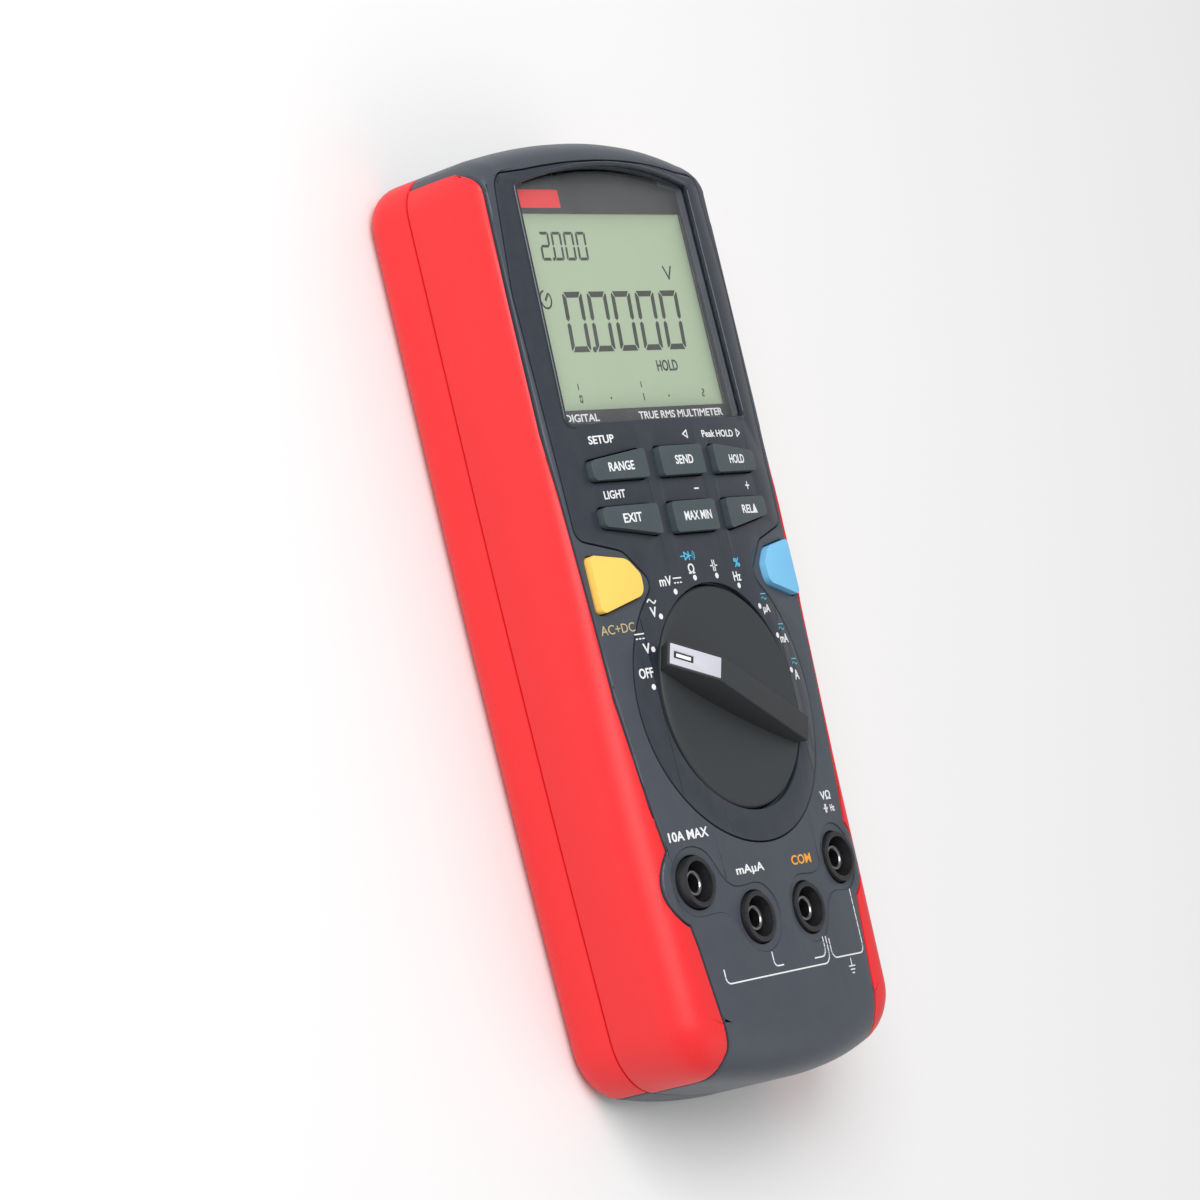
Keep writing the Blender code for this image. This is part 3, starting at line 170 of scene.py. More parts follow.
# Key outlines, in millimetres: x, y and corner radius
KEYS = {
    "range_key": [(-30.2, 26.9, 1.2), (-12.8, 26.6, 0.8), (-12.8, 33.0, 0.8), (-30.2, 31.2, 1.2)],
    "send_key": [(-7.9, 26.6, 0.8), (7.9, 26.6, 0.8), (7.9, 33.0, 0.8), (-7.9, 33.0, 0.8)],
    "hold_key": [(12.8, 26.6, 0.8), (30.2, 26.9, 1.2), (30.2, 31.2, 1.2), (12.8, 33.0, 0.8)],
    "exit_key": [(-30.2, 17.0, 1.2), (-12.8, 14.2, 0.8), (-12.8, 20.9, 0.8), (-30.2, 21.1, 1.2)],
    "max_min_key": [(-7.9, 14.2, 0.8), (7.9, 14.2, 0.8), (7.9, 20.9, 0.8), (-7.9, 20.9, 0.8)],
    "relative_key": [(12.8, 14.2, 0.8), (30.2, 17.0, 1.2), (30.2, 21.1, 1.2), (12.8, 20.9, 0.8)],
}
SIDE_KEY = [(37.0, -1.2, 1.2), (37.0, 11.5, 1.2), (26.5, 9.8, 4), (23.3, 6.2, 2.5),
            (23.6, 1.9, 2.5)]

# How finely a lofted form is divided: corner, side, end and rounding steps
FINE = (10, 25, 25, 8)
COARSE = (3, 5, 9, 3)


# ---------------------------------------------------------------- settings

class MeterColours(bpy.types.PropertyGroup):
    """Colours of the meter's finishes"""
    grip: FloatVectorProperty(name="Grips", description="Rubber of the side grips",
                              subtype="COLOR", size=3, min=0, max=1, default=(0.80, 0.016, 0.020))
    case: FloatVectorProperty(name="Case", description="Plastic of the shells",
                              subtype="COLOR", size=3, min=0, max=1, default=(0.05, 0.06, 0.078))
    panel: FloatVectorProperty(name="Panel", description="Plastic of the centre panel",
                               subtype="COLOR", size=3, min=0, max=1,
                               default=(0.024, 0.03, 0.043))
    key: FloatVectorProperty(name="Keys", description="Rubber of the six grey keys",
                             subtype="COLOR", size=3, min=0, max=1, default=(0.05, 0.07, 0.078))
    yellow: FloatVectorProperty(name="Yellow key", description="Rubber of the left key",
                                subtype="COLOR", size=3, min=0, max=1,
                                default=(0.93, 0.47, 0.05))
    blue: FloatVectorProperty(name="Blue key", description="Rubber of the right key",
                              subtype="COLOR", size=3, min=0, max=1, default=(0.1, 0.38, 0.75))
    knob: FloatVectorProperty(name="Dial", description="Plastic of the dial",
                              subtype="COLOR", size=3, min=0, max=1, default=(0.046, 0.056, 0.074))
    pointer: FloatVectorProperty(name="Pointer", description="Plastic of the pointer insert",
                                 subtype="COLOR", size=3, min=0, max=1,
                                 default=(0.36, 0.36, 0.42))
    glass: FloatVectorProperty(name="Display", description="Reflector behind the digits",
                               subtype="COLOR", size=3, min=0, max=1, default=(0.40, 0.50, 0.34))
    floor: FloatVectorProperty(name="Floor", description="Studio floor",
                               subtype="COLOR", size=3, min=0, max=1, default=(0.86, 0.86, 0.86))


class MeterSizes(bpy.types.PropertyGroup):
    """Small sizes of the meter's edges and printing"""
    edge: FloatProperty(name="Edge", description="Rounding of the shells' crisp edges",
                        unit="LENGTH", default=0.3 * MM, min=0.05 * MM, max=1 * MM)
    groove: FloatProperty(name="Groove", description="Width of the groove beside a grip",
                          unit="LENGTH", default=0.5 * MM, min=0.1 * MM, max=1 * MM)
    bezel: FloatProperty(name="Bezel", description="Height of the display's sloping surround",
                         unit="LENGTH", default=0.9 * MM, min=0.1 * MM, max=1.5 * MM)
    ink: FloatProperty(name="Ink", description="Height of the printing above the face",
                       unit="LENGTH", default=0.04 * MM, min=0.01 * MM, max=0.2 * MM)


class MeterStage(bpy.types.PropertyGroup):
    """Camera and lights"""
    aim: FloatVectorProperty(name="Aim", description="Point that the camera looks at",
                             subtype="TRANSLATION", unit="LENGTH", size=3,
                             default=(-0.01728, 0.00427, 0.020))
    azimuth: FloatProperty(name="Azimuth", description="Turn of the camera from +X about +Z",
                           subtype="ANGLE", default=math.radians(186.743))
    elevation: FloatProperty(name="Elevation", description="Height of the camera's view",
                             subtype="ANGLE", default=math.radians(35.178))
    lean: FloatProperty(name="Lean", description="Tilt of the meter's length in the view",
                        subtype="ANGLE", default=math.radians(13.383))
    distance: FloatProperty(name="Distance", description="From the aim to the camera",
                            unit="LENGTH", default=1.07348)
    lens: FloatProperty(name="Lens", description="Focal length in millimetres", default=152.44)
    key_power: FloatProperty(name="Key light", description="Power of the large soft light",
                             default=15.0, min=0)
    fill_power: FloatProperty(name="Fill light", description="Power of the light on the right",
                              default=1.6, min=0)
    sky: FloatProperty(name="Room light", description="Strength of the even light around",
                       default=0.5, min=0)


def colours():
    """The colours set in the sidebar."""
    return bpy.context.scene.meter_colours


def sizes():
    """The sizes set in the sidebar."""
    return bpy.context.scene.meter_sizes


# ---------------------------------------------------------------- modelling helpers

def deselect_all():
    """Go to object mode with nothing selected."""
    if bpy.context.object and bpy.context.object.mode != "OBJECT":
        bpy.ops.object.mode_set(mode="OBJECT")
    bpy.ops.object.select_all(action="DESELECT")


def activate(piece):
    """Make one piece the only selected and active object."""
    deselect_all()
    piece.select_set(True)
    bpy.context.view_layer.objects.active = piece
    return piece


def edit(piece):
    """Open a piece in edit mode with nothing selected in it."""
    activate(piece)
    bpy.ops.object.mode_set(mode="EDIT")
    bpy.ops.mesh.select_all(action="DESELECT")


def close(piece):
    """Leave edit mode."""
    bpy.ops.object.mode_set(mode="OBJECT")
    return piece


def select_faces(piece, test):
    """Select in edit mode the faces whose centre and normal pass a test."""
    bpy.ops.mesh.select_all(action="DESELECT")
    bpy.context.tool_settings.mesh_select_mode = (False, False, True)
    shape = bmesh.from_edit_mesh(piece.data)
    for face in shape.faces:
        if test(face.calc_center_median(), face.normal):
            face.select_set(True)
    bmesh.update_edit_mesh(piece.data)


def select_edges(piece, test):
    """Select in edit mode the edges whose middle and direction pass a test."""
    bpy.ops.mesh.select_all(action="DESELECT")
    bpy.context.tool_settings.mesh_select_mode = (False, True, False)
    shape = bmesh.from_edit_mesh(piece.data)
    for edge in shape.edges:
        low, high = (vertex.co for vertex in edge.verts)
        if test((low + high) / 2, (high - low).normalized()):
            edge.select_set(True)
    bmesh.update_edit_mesh(piece.data)


def set_place(piece):
    """Put a piece's place, turn and scale in its mesh."""
    activate(piece)
    bpy.ops.object.transform_apply(location=True, rotation=True, scale=True)
    return piece


def add_block(name, low, high):
    """A block between two corners, in metres."""
    deselect_all()
    low, high = Vector(low), Vector(high)
    bpy.ops.mesh.primitive_cube_add(size=1.0, location=(low + high) / 2)
    piece = bpy.context.object
    piece.name = name
    piece.scale = high - low
    return set_place(piece)


def add_drum(name, x, y, radius, low, high, sides=48):
    """An upright drum from one height to another, in metres."""
    deselect_all()
    bpy.ops.mesh.primitive_cylinder_add(vertices=sides, radius=radius, depth=high - low,
                                        location=(x, y, (low + high) / 2))
    piece = bpy.context.object
    piece.name = name
    return set_place(piece)


def link(name, mesh):
    """An object for a mesh, in the scene."""
    piece = bpy.data.objects.new(name, mesh)
    bpy.context.scene.collection.objects.link(piece)
    return piece


def from_shape(name, shape):
    """A piece from a bmesh, with welded corners and faces pointing out."""
    bmesh.ops.remove_doubles(shape, verts=shape.verts, dist=1e-6)
    bmesh.ops.recalc_face_normals(shape, faces=shape.faces)
    mesh = bpy.data.meshes.new(name)
    shape.to_mesh(mesh)
    shape.free()
    return link(name, mesh)


def prism(name, outline, low, high):
    """A face with an outline in metres, extruded from one height to another."""
    mesh = bpy.data.meshes.new(name)
    mesh.from_pydata([(x, y, low) for x, y in outline], [], [list(range(len(outline)))])
    piece = link(name, mesh)
    edit(piece)
    bpy.ops.mesh.select_all(action="SELECT")
    bpy.ops.mesh.extrude_region_move(TRANSFORM_OT_translate={"value": (0, 0, high - low)})
    bpy.ops.mesh.select_all(action="SELECT")
    bpy.ops.mesh.normals_make_consistent(inside=False)
    return close(piece)


def turned(name, profile, x, y, steps=64):
    """A profile of (radius, height) in metres, spun about an upright axis."""
    count = len(profile)
    open_ended = profile[0][0] == 0 and profile[-1][0] == 0
    links = count - 1 if open_ended else count
    mesh = bpy.data.meshes.new(name)
    mesh.from_pydata([(x + radius, y, height) for radius, height in profile],
                     [(k, (k + 1) % count) for k in range(links)], [])
    piece = link(name, mesh)
    edit(piece)
    bpy.ops.mesh.select_all(action="SELECT")
    bpy.ops.mesh.spin(steps=steps, angle=2 * math.pi, center=(x, y, 0.0), axis=(0, 0, 1))
    bpy.ops.mesh.select_all(action="SELECT")
    bpy.ops.mesh.remove_doubles(threshold=1e-6)
    bpy.ops.mesh.normals_make_consistent(inside=False)
    return close(piece)


def apply_modifier(piece, modifier):
    """Apply a modifier to its piece."""
    activate(piece)
    bpy.ops.object.modifier_apply(modifier=modifier.name)


def discard(*pieces):
    """Remove helper objects."""
    for piece in pieces:
        bpy.data.objects.remove(piece, do_unlink=True)


def span(piece):
    """The volume of a piece's mesh and whether it is closed."""
    shape = bmesh.new()
    shape.from_mesh(piece.data)
    volume = abs(shape.calc_volume())
    closed = bool(shape.faces) and all(len(line.link_faces) == 2 for line in shape.edges)
    shape.free()
    return volume, closed


def combine(piece, operation, *tools, keep=False):
    """Apply a Boolean with each tool, and remove the tools unless they are kept.

    A tool whose faces graze the piece's can defeat the solver. It is then moved by a few
    thousandths of a millimetre and tried again.
    """
    for tool in tools:
        before = piece.data.copy()
        whole = span(piece)[0]
        inner = span(tool)[0]
        for attempt in range(7):
            modifier = piece.modifiers.new("combine", "BOOLEAN")
            modifier.operation = operation
            modifier.solver = "EXACT"
            modifier.object = tool
            apply_modifier(piece, modifier)
            volume, closed = span(piece)
            likely = {"DIFFERENCE": whole - 1.02 * inner < volume <= 1.001 * whole,
                      "UNION": volume >= 0.999 * max(whole, inner),
                      "INTERSECT": 0.0 < volume <= 1.001 * min(whole, inner)}[operation]
            if likely and closed and len(piece.data.polygons):
                break
            if attempt == 6:
                if not len(piece.data.polygons):
                    raise RuntimeError("%s could not be combined with %s"
                                       % (piece.name, tool.name))
                break
            materials = list(piece.data.materials)
            piece.data = before.copy()
            piece.data.materials.clear()
            for material in materials:
                piece.data.materials.append(material)
            shift = 0.0031 * MM * (-1.7) ** attempt
            tool.data.transform(Matrix.Translation((shift, shift * 0.7, shift * 0.4)))
        bpy.data.meshes.remove(before)
        if not keep:
            discard(tool)
    return piece


def cut(piece, *tools, keep=False):
    """Take the tools' volume out of a piece."""
    return combine(piece, "DIFFERENCE", *tools, keep=keep)


def join(piece, *tools, keep=False):
    """Add the tools' volume to a piece."""
    return combine(piece, "UNION", *tools, keep=keep)


def keep_inside(piece, *tools, keep=False):
    """Keep only what a piece shares with the tools."""
    return combine(piece, "INTERSECT", *tools, keep=keep)


def clean(piece, spacing=0.02 * MM, flat=0.05):
    """Merge stray corners and dissolve the seams between flat faces."""
    edit(piece)
    bpy.ops.mesh.select_all(action="SELECT")
    bpy.ops.mesh.remove_doubles(threshold=spacing)
    bpy.ops.mesh.dissolve_limited(angle_limit=math.radians(flat))
    return close(piece)


def soften(piece, width, segments=2, angle=50.0):
    """Round the crisp edges of a piece."""
    modifier = piece.modifiers.new("soften", "BEVEL")
    modifier.width = width
    modifier.segments = segments
    modifier.limit_method = "ANGLE"
    modifier.angle_limit = math.radians(angle)
    modifier.use_clamp_overlap = False
    modifier.miter_outer = "MITER_ARC"
    apply_modifier(piece, modifier)
    return piece


def smooth(piece, angle=35.0):
    """Smooth the shading, apart from corners sharper than an angle."""
    activate(piece)
    bpy.ops.object.shade_smooth_by_angle(angle=math.radians(angle))
    return piece


def rest_on_floor(piece):
    """Press flat whatever a rounded edge has pushed under the underside of the meter."""
    for vertex in piece.data.vertices:
        vertex.co.z = max(vertex.co.z, 0.0)
    return piece


def copy_of(piece, name):
    """A copy of a piece with its own mesh."""
    twin = piece.copy()
    twin.data = piece.data.copy()
    twin.name = name
    bpy.context.scene.collection.objects.link(twin)
    return twin


def mirror_of(piece, name):
    """A copy reflected to the other side of the meter, with faces pointing out."""
    twin = copy_of(piece, name)
    twin.data.transform(Matrix.Diagonal((-1.0, 1.0, 1.0, 1.0)))
    edit(twin)
    bpy.ops.mesh.select_all(action="SELECT")
    bpy.ops.mesh.normals_make_consistent(inside=False)
    return smooth(close(twin))


def merge(name, pieces):
    """Join several pieces into one object."""
    deselect_all()
    for piece in pieces:
        piece.select_set(True)
    bpy.context.view_layer.objects.active = pieces[0]
    if len(pieces) > 1:
        bpy.ops.object.join()
    pieces[0].name = name
    return pieces[0]


def place_on(piece, body, material, slot, *nodes):
    """Give a piece its material and its body, and hide the nodes that it stands for. Its slot is not
    used.
    """
    piece.data.materials.clear()
    piece.data.materials.append(material)
    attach(piece, body)
    if nodes:
        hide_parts(*nodes)
    return piece


# ---------------------------------------------------------------- outlines

def rounded(corners, steps=6):
    """An outline in metres from corners (x, y, radius) in millimetres, each corner an arc."""
    points = []
    count = len(corners)
    for k, (x, y, radius) in enumerate(corners):
        corner = Vector((x, y))
        before = (Vector(corners[k - 1][:2]) - corner).normalized()
        after = (Vector(corners[(k + 1) % count][:2]) - corner).normalized()
        if radius == 0:
            points.append(tuple(corner * MM))
            continue
        half_angle = before.angle(after) / 2
        reach = radius / math.tan(half_angle)
        centre = corner + (before + after).normalized() * (radius / math.sin(half_angle))
        start = corner + before * reach - centre
        turn = (corner + after * reach - centre).angle_signed(start)
        for step in range(steps + 1):
            spoke = Matrix.Rotation(turn * step / steps, 2) @ start
            points.append(tuple((centre + spoke) * MM))
    return points


def grown(points, distance):
    """An outline moved outwards by a distance."""
    area = sum(a[0] * b[1] - b[0] * a[1] for a, b in zip(points, points[1:] + points[:1]))
    side = 1.0 if area > 0 else -1.0
    result = []
    count = len(points)
    for k in range(count):
        here = Vector(points[k])
        before = (here - Vector(points[k - 1])).normalized()
        after = (Vector(points[(k + 1) % count]) - here).normalized()
        normal_before = Vector((before.y, -before.x)) * side
        normal_after = Vector((after.y, -after.x)) * side
        middle = (normal_before + normal_after).normalized()
        result.append(tuple(here + middle * distance / max(middle.dot(normal_before), 0.5)))
    return result


def mirrored(points, side):
    """An outline as it is for side +1, or reflected to -X for side -1."""
    return [(x * side, y) for x, y in points]


def crown(x):
    """Height of the crowned face at a distance from the centre line."""
    return CROWN_TOP - x * x / (2 * CROWN_RADIUS)


def waist(y):
    """Factor by which the body narrows towards the input end."""
    below = max(0.0, WAIST_START - y) / WAIST_LENGTH
    return 1.0 - WAIST_NARROWING * below * below


def smooth_step(value):
    """An easy ramp from 0 to 1."""
    value = min(max(value, 0.0), 1.0)
    return value * value * (3.0 - 2.0 * value)


# ---------------------------------------------------------------- lofted body forms

def end_centre(radius, side):
    """Height along Y of the centre of an end's arc."""
    return side * (HALF_LENGTH - radius)


def corner_centre(end_radius, corner_radius, side):
    """Centre of the arc that joins an end's arc to the straight side."""
    x = HALF_WIDTH - corner_radius
    reach = math.sqrt((end_radius - corner_radius) ** 2 - x * x)
    return Vector((x, end_centre(end_radius, side) + side * reach))


def half_rim(detail):
    """The right half of the rim from the bottom to the top, as (point, normal) pairs."""
    corner_steps, side_stations, _, _ = detail
    low = corner_centre(BOTTOM_END_RADIUS, BOTTOM_CORNER_RADIUS, -1)
    high = corner_centre(TOP_END_RADIUS, TOP_CORNER_RADIUS, 1)
    low_start = math.atan2(low.y - end_centre(BOTTOM_END_RADIUS, -1), low.x)
    high_end = math.atan2(high.y - end_centre(TOP_END_RADIUS, 1), high.x)

    def arc(centre, radius, start, end):
        run = []
        for step in range(corner_steps + 1):
            angle = start + (end - start) * step / corner_steps
            normal = Vector((math.cos(angle), math.sin(angle)))
            run.append((centre + normal * radius, normal))
        return run

    side_run = []
    for step in range(1, side_stations):
        y = low.y + (high.y - low.y) * step / side_stations
        side_run.append((Vector((HALF_WIDTH, y)), Vector((1.0, 0.0))))
    return (arc(low, BOTTOM_CORNER_RADIUS, low_start, 0.0) + side_run
            + arc(high, TOP_CORNER_RADIUS, 0.0, high_end))


def end_run(radius, side, stations):
    """The middle of an end's arc, from left to right."""
    run = []
    for step in range(stations + 1):
        x = END_STATION_REACH * (2.0 * step / stations - 1.0)
        drop = math.sqrt(radius * radius - x * x)
        normal = Vector((x, side * drop)) / radius
        run.append((Vector((x, end_centre(radius, side) + side * drop)), normal))
    return run


def rim(detail):
    """The whole rim anticlockwise, with the count of points in each of its runs."""
    right = half_rim(detail)
    left = [(Vector((-p.x, p.y)), Vector((-n.x, n.y))) for p, n in reversed(right)]
    bottom = end_run(BOTTOM_END_RADIUS, -1, detail[2])
    top = list(reversed(end_run(TOP_END_RADIUS, 1, detail[2])))
    return bottom + right + top + left, (len(bottom), len(right), len(top))


def front_round(point, normal):
    """Width over which the face rolls down into the side at a point of the rim."""
    blend = smooth_step((20.0 * MM - point.y) / (70.0 * MM))
    side = SIDE_ROUND_TOP + (SIDE_ROUND_BOTTOM - SIDE_ROUND_TOP) * blend
    end = TOP_END_ROUND if normal.y > 0 else BOTTOM_END_ROUND
    share = normal.y * normal.y
    return side * (1.0 - share) + end * share


def moved_in(point, normal, distance):
    """A point of the rim moved towards the middle, on the waisted outline."""
    x, y = point - normal * distance
    return x * waist(y), y


def stitch(shape, layers):
    """Bands of faces between rings that have the same number of corners."""
    for below, above in zip(layers, layers[1:]):
        count = len(below)
        for k in range(count):
            after = (k + 1) % count
            shape.faces.new((below[k], below[after], above[after], above[k]))


def side_line(shape, low, high, side, inset, corner):
    """Corners on the crown between two ends' stations, one beside each point of the side."""
    line = [low]
    for vertex in side[corner:len(side) - corner]:
        share = (vertex.co.y - low.co.y) / (high.co.y - low.co.y)
        x = low.co.x + (high.co.x - low.co.x) * share
        line.append(shape.verts.new((x, vertex.co.y, crown(x) - inset)))
    return line + [high]


def crown_cap(shape, ring, counts, inset, corner_steps):
    """Close the crowned face with strips along Y, so that the crown stays true."""
    bottom_count, right_count, top_count = counts
    bottom = ring[:bottom_count]
    right = ring[bottom_count:bottom_count + right_count]
    top = list(reversed(ring[bottom_count + right_count:bottom_count + right_count + top_count]))
    left = list(reversed(ring[bottom_count + right_count + top_count:]))
    edge_right = side_line(shape, bottom[-1], top[-1], right, inset, corner_steps)
    edge_left = side_line(shape, bottom[0], top[0], left, inset, corner_steps)
    last = bottom_count - 2
    for k in range(bottom_count - 1):
        start = edge_left if k == 0 else [bottom[k], top[k]]
        end = edge_right if k == last else [bottom[k + 1], top[k + 1]]
        shape.faces.new(list(reversed(start)) + end)
    corner = corner_steps + 1
    for side, line, flip in ((right, edge_right, False), (left, edge_left, True)):
        straight = side[corner - 1:len(side) - corner + 1]
        patches = [[line[k + 1], straight[k], straight[k + 1], line[k + 2]]
                   for k in range(len(straight) - 1)]
        patches.append([line[0]] + side[:corner] + [line[1]])
        patches.append([line[-2]] + side[-corner:] + [line[-1]])
        for patch in patches:
            shape.faces.new(list(reversed(patch)) if flip else patch)


def front_form(name, inset, low, detail=FINE):
    """The crowned front of the body, moved in by an inset, from a height up to its face.

    It is lofted in code, because the rounding of its edge changes along the rim.
    """
    points, counts = rim(detail)
    round_steps = detail[3]
    height = max(FRONT_ROUND_HEIGHT - inset, 1.0 * MM)
    rings = [[(*moved_in(p, n, inset), low) for p, n in points]]
    for step in range(round_steps + 1):
        angle = math.pi / 2 * step / round_steps
        ring = []
        for point, normal in points:
            width = max(front_round(point, normal) - inset, 0.3 * MM)
            inner_x, _ = moved_in(point, normal, inset + width)
            x, y = moved_in(point, normal, inset + width * (1.0 - math.cos(angle)))
            ring.append((x, y, crown(inner_x) - inset - height * (1.0 - math.sin(angle))))
        rings.append(ring)
    shape = bmesh.new()
    layers = [[shape.verts.new(place) for place in ring] for ring in rings]
    stitch(shape, layers)
    shape.faces.new(list(reversed(layers[0])))
    crown_cap(shape, layers[-1], counts, inset, detail[0])
    bmesh.ops.triangulate(shape, faces=shape.faces)
    return from_shape(name, shape)


def rear_form(name, inset, low, high, detail=FINE):
    """The rear of the body, moved in by an inset, from its floor up to a height."""
    points, _ = rim(detail)
    round_steps = detail[3]
    width = max(BACK_ROUND_WIDTH - inset, 0.5 * MM)
    rise = max(BACK_ROUND_HEIGHT - low, 0.5 * MM)
    rings = []
    for step in range(round_steps + 1):
        angle = math.pi / 2 * (1.0 - step / round_steps)
        depth = low + rise * (1.0 - math.sin(angle))
        rings.append([(*moved_in(p, n, inset + width * (1.0 - math.cos(angle))), depth)
                      for p, n in points])
    rings.append([(*moved_in(p, n, inset), high) for p, n in points])
    shape = bmesh.new()
    layers = [[shape.verts.new(place) for place in ring] for ring in rings]
    stitch(shape, layers)
    shape.faces.new(list(reversed(layers[0])))
    shape.faces.new(layers[-1])
    bmesh.ops.triangulate(shape, faces=shape.faces)
    return from_shape(name, shape)


# ---------------------------------------------------------------- outlines on the face

def grip_border(side, back_off=0.0):
    """The region of a front grip: everything outboard of its border with the grey case."""
    jack = JACKS[3].xy / MM
    bump = [(jack.x + 9.8 * math.cos(math.radians(a)), jack.y + 9.8 * math.sin(math.radians(a)))
            for a in range(47, -65, -4)]
    border = [(34.5, 112.0, 0), (34.5, 102.0, 3), (40.0, 96.0, 4), (40.2, 68.0, 20),
              (40.2, 38.0, 20), (37.6, -19.0, 10), (35.3, -40.0, 5)]
    border += [(x, y, 0) for x, y in bump]
    border += [(30.6, -72.0, 5), (27.8, -94.0, 4), (30.0, -102.0, 4), (30.0, -112.0, 0),
               (60.0, -112.0, 0), (60.0, 112.0, 0)]
    return mirrored(grown(rounded(border, 8), -back_off), side)


def panel_top(x):
    """Height along Y of the panel's arched top edge, in millimetres."""
    return 96.3 - x * x / 446.0


def panel_outline():
    """The dark centre panel: round the display and keys, then round the dial."""
    side = [(36.9, 93.9, 3.5), (39.4, 68.5, 30), (38.2, 28.8, 30), (38.0, 15.2, 3),
            (25.5, 11.8, 5), (18.4, 4.2, 3), (23.3, -0.5, 0)]
    right = rounded([(0.0, 60.0, 0), (21.4, 95.6, 0)] + side, 10)[2:]
    ring = []
    for step in range(1, 49):
        angle = math.radians(42.0 - 132.0 * step / 48)
        ring.append((PANEL_RING_RADIUS * math.cos(angle),
                     DIAL_CENTRE.y + PANEL_RING_RADIUS * math.sin(angle)))
    top = [(x * MM, panel_top(x) * MM) for x in (0.0, 3.1, 6.2, 9.3, 12.4, 15.5, 18.6, 21.7,
                                                 24.8, 27.9)]
    half = top + right + ring
    left = [(-x, y) for x, y in reversed(half[1:-1])]
    return half + left


def lens_outline(wider=0.0):
    """The display lens: straight foot, nearly straight sides and an arched head."""
    more = wider / MM
    head = [(x, 95.2 + more - x * x / 250.0, 0) for x in range(24, -25, -4)]
    corners = [(-32.6 - more, 39.6 - more, 1.5 + more), (32.6 + more, 39.6 - more, 1.5 + more),
               (31.2 + more, 91.4 + more * 0.8, 1.0 + more)]
    return rounded(corners + head + [(-31.2 - more, 91.4 + more * 0.8, 1.0 + more)], 8)


def rear_region(side, back_off=0.0):
    """The region of a rear grip: the side of the rear shell."""
    region = [(31.0, 112.0, 0), (31.0, 100.0, 3), (36.3, 92.0, 3)]
    for y in (60.0, 40.0, 20.0, 0.0, -20.0, -40.0, -60.0, -80.0):
        region.append((36.3 * waist(y * MM), y, 0))
    region += [(31.0, -95.0, 3), (29.0, -112.0, 0), (60.0, -112.0, 0), (60.0, 112.0, 0)]
    return mirrored(grown(rounded(region), -back_off), side)


def island_outline(side):
    """The hollow round two neighbouring jacks: two circles joined by a narrow neck."""
    inner, outer = JACKS[2].xy, JACKS[3].xy
    along = (outer - inner).normalized()
    across = Vector((-along.y, along.x))
    length = (outer - inner).length
    middle = (JACK_ISLAND_RADIUS + JACK_ISLAND_WAIST) / 2
    swing = (JACK_ISLAND_RADIUS - JACK_ISLAND_WAIST) / 2
    points = []
    for k in range(25):
        t = k / 24
        half = middle + swing * math.cos(2 * math.pi * t)
        points.append(inner + along * length * t - across * half)
    for k in range(1, 24):
        angle = math.pi * k / 24
        points.append(outer + (along * math.sin(angle) - across * math.cos(angle))
                      * JACK_ISLAND_RADIUS)
    for k in range(25):
        t = 1.0 - k / 24
        half = middle + swing * math.cos(2 * math.pi * t)
        points.append(inner + along * length * t + across * half)
    for k in range(1, 24):
        angle = math.pi * k / 24
        points.append(inner + (across * math.cos(angle) - along * math.sin(angle))
                      * JACK_ISLAND_RADIUS)
    return mirrored([tuple(point) for point in points], side)


# ---------------------------------------------------------------- materials

def node(tree, kind, **settings):
    """A node with some of its settings given."""
    made = tree.nodes.new(kind)
    for name, value in settings.items():
        setattr(made, name, value)
    return made


def noise(tree, vector, scale, detail=2.0, roughness=0.5):
    """A noise texture read at a position; its output is its first socket."""
    made = node(tree, "ShaderNodeTexNoise")
    made.inputs["Detail"].default_value = detail
    made.inputs["Roughness"].default_value = roughness
    if isinstance(scale, float):
        made.inputs["Scale"].default_value = scale
    else:
        tree.links.new(scale, made.inputs["Scale"])
    tree.links.new(vector, made.inputs["Vector"])
    return made.outputs["Fac"]


def maths(tree, operation, first, second):
    """A Math node; each operand is a socket or a number."""
    made = node(tree, "ShaderNodeMath", operation=operation)
    for slot_index, value in enumerate((first, second)):
        if isinstance(value, (int, float)):
            made.inputs[slot_index].default_value = value
        else:
            tree.links.new(value, made.inputs[slot_index])
    return made.outputs[0]


def mixed(tree, factor, first, second, blend="MIX"):
    """A colour mix; factor is a socket or a number, the colours sockets or values."""
    made = node(tree, "ShaderNodeMix", data_type="RGBA", blend_type=blend)
    for name, value in (("Factor_Float", factor), ("A_Color", first), ("B_Color", second)):
        socket = next(s for s in made.inputs if s.identifier == name)
        if isinstance(value, (int, float)):
            socket.default_value = value
        elif isinstance(value, tuple):
            socket.default_value = (*value[:3], 1.0)
        else:
            tree.links.new(value, socket)
    return next(s for s in made.outputs if s.identifier == "Result_Color")


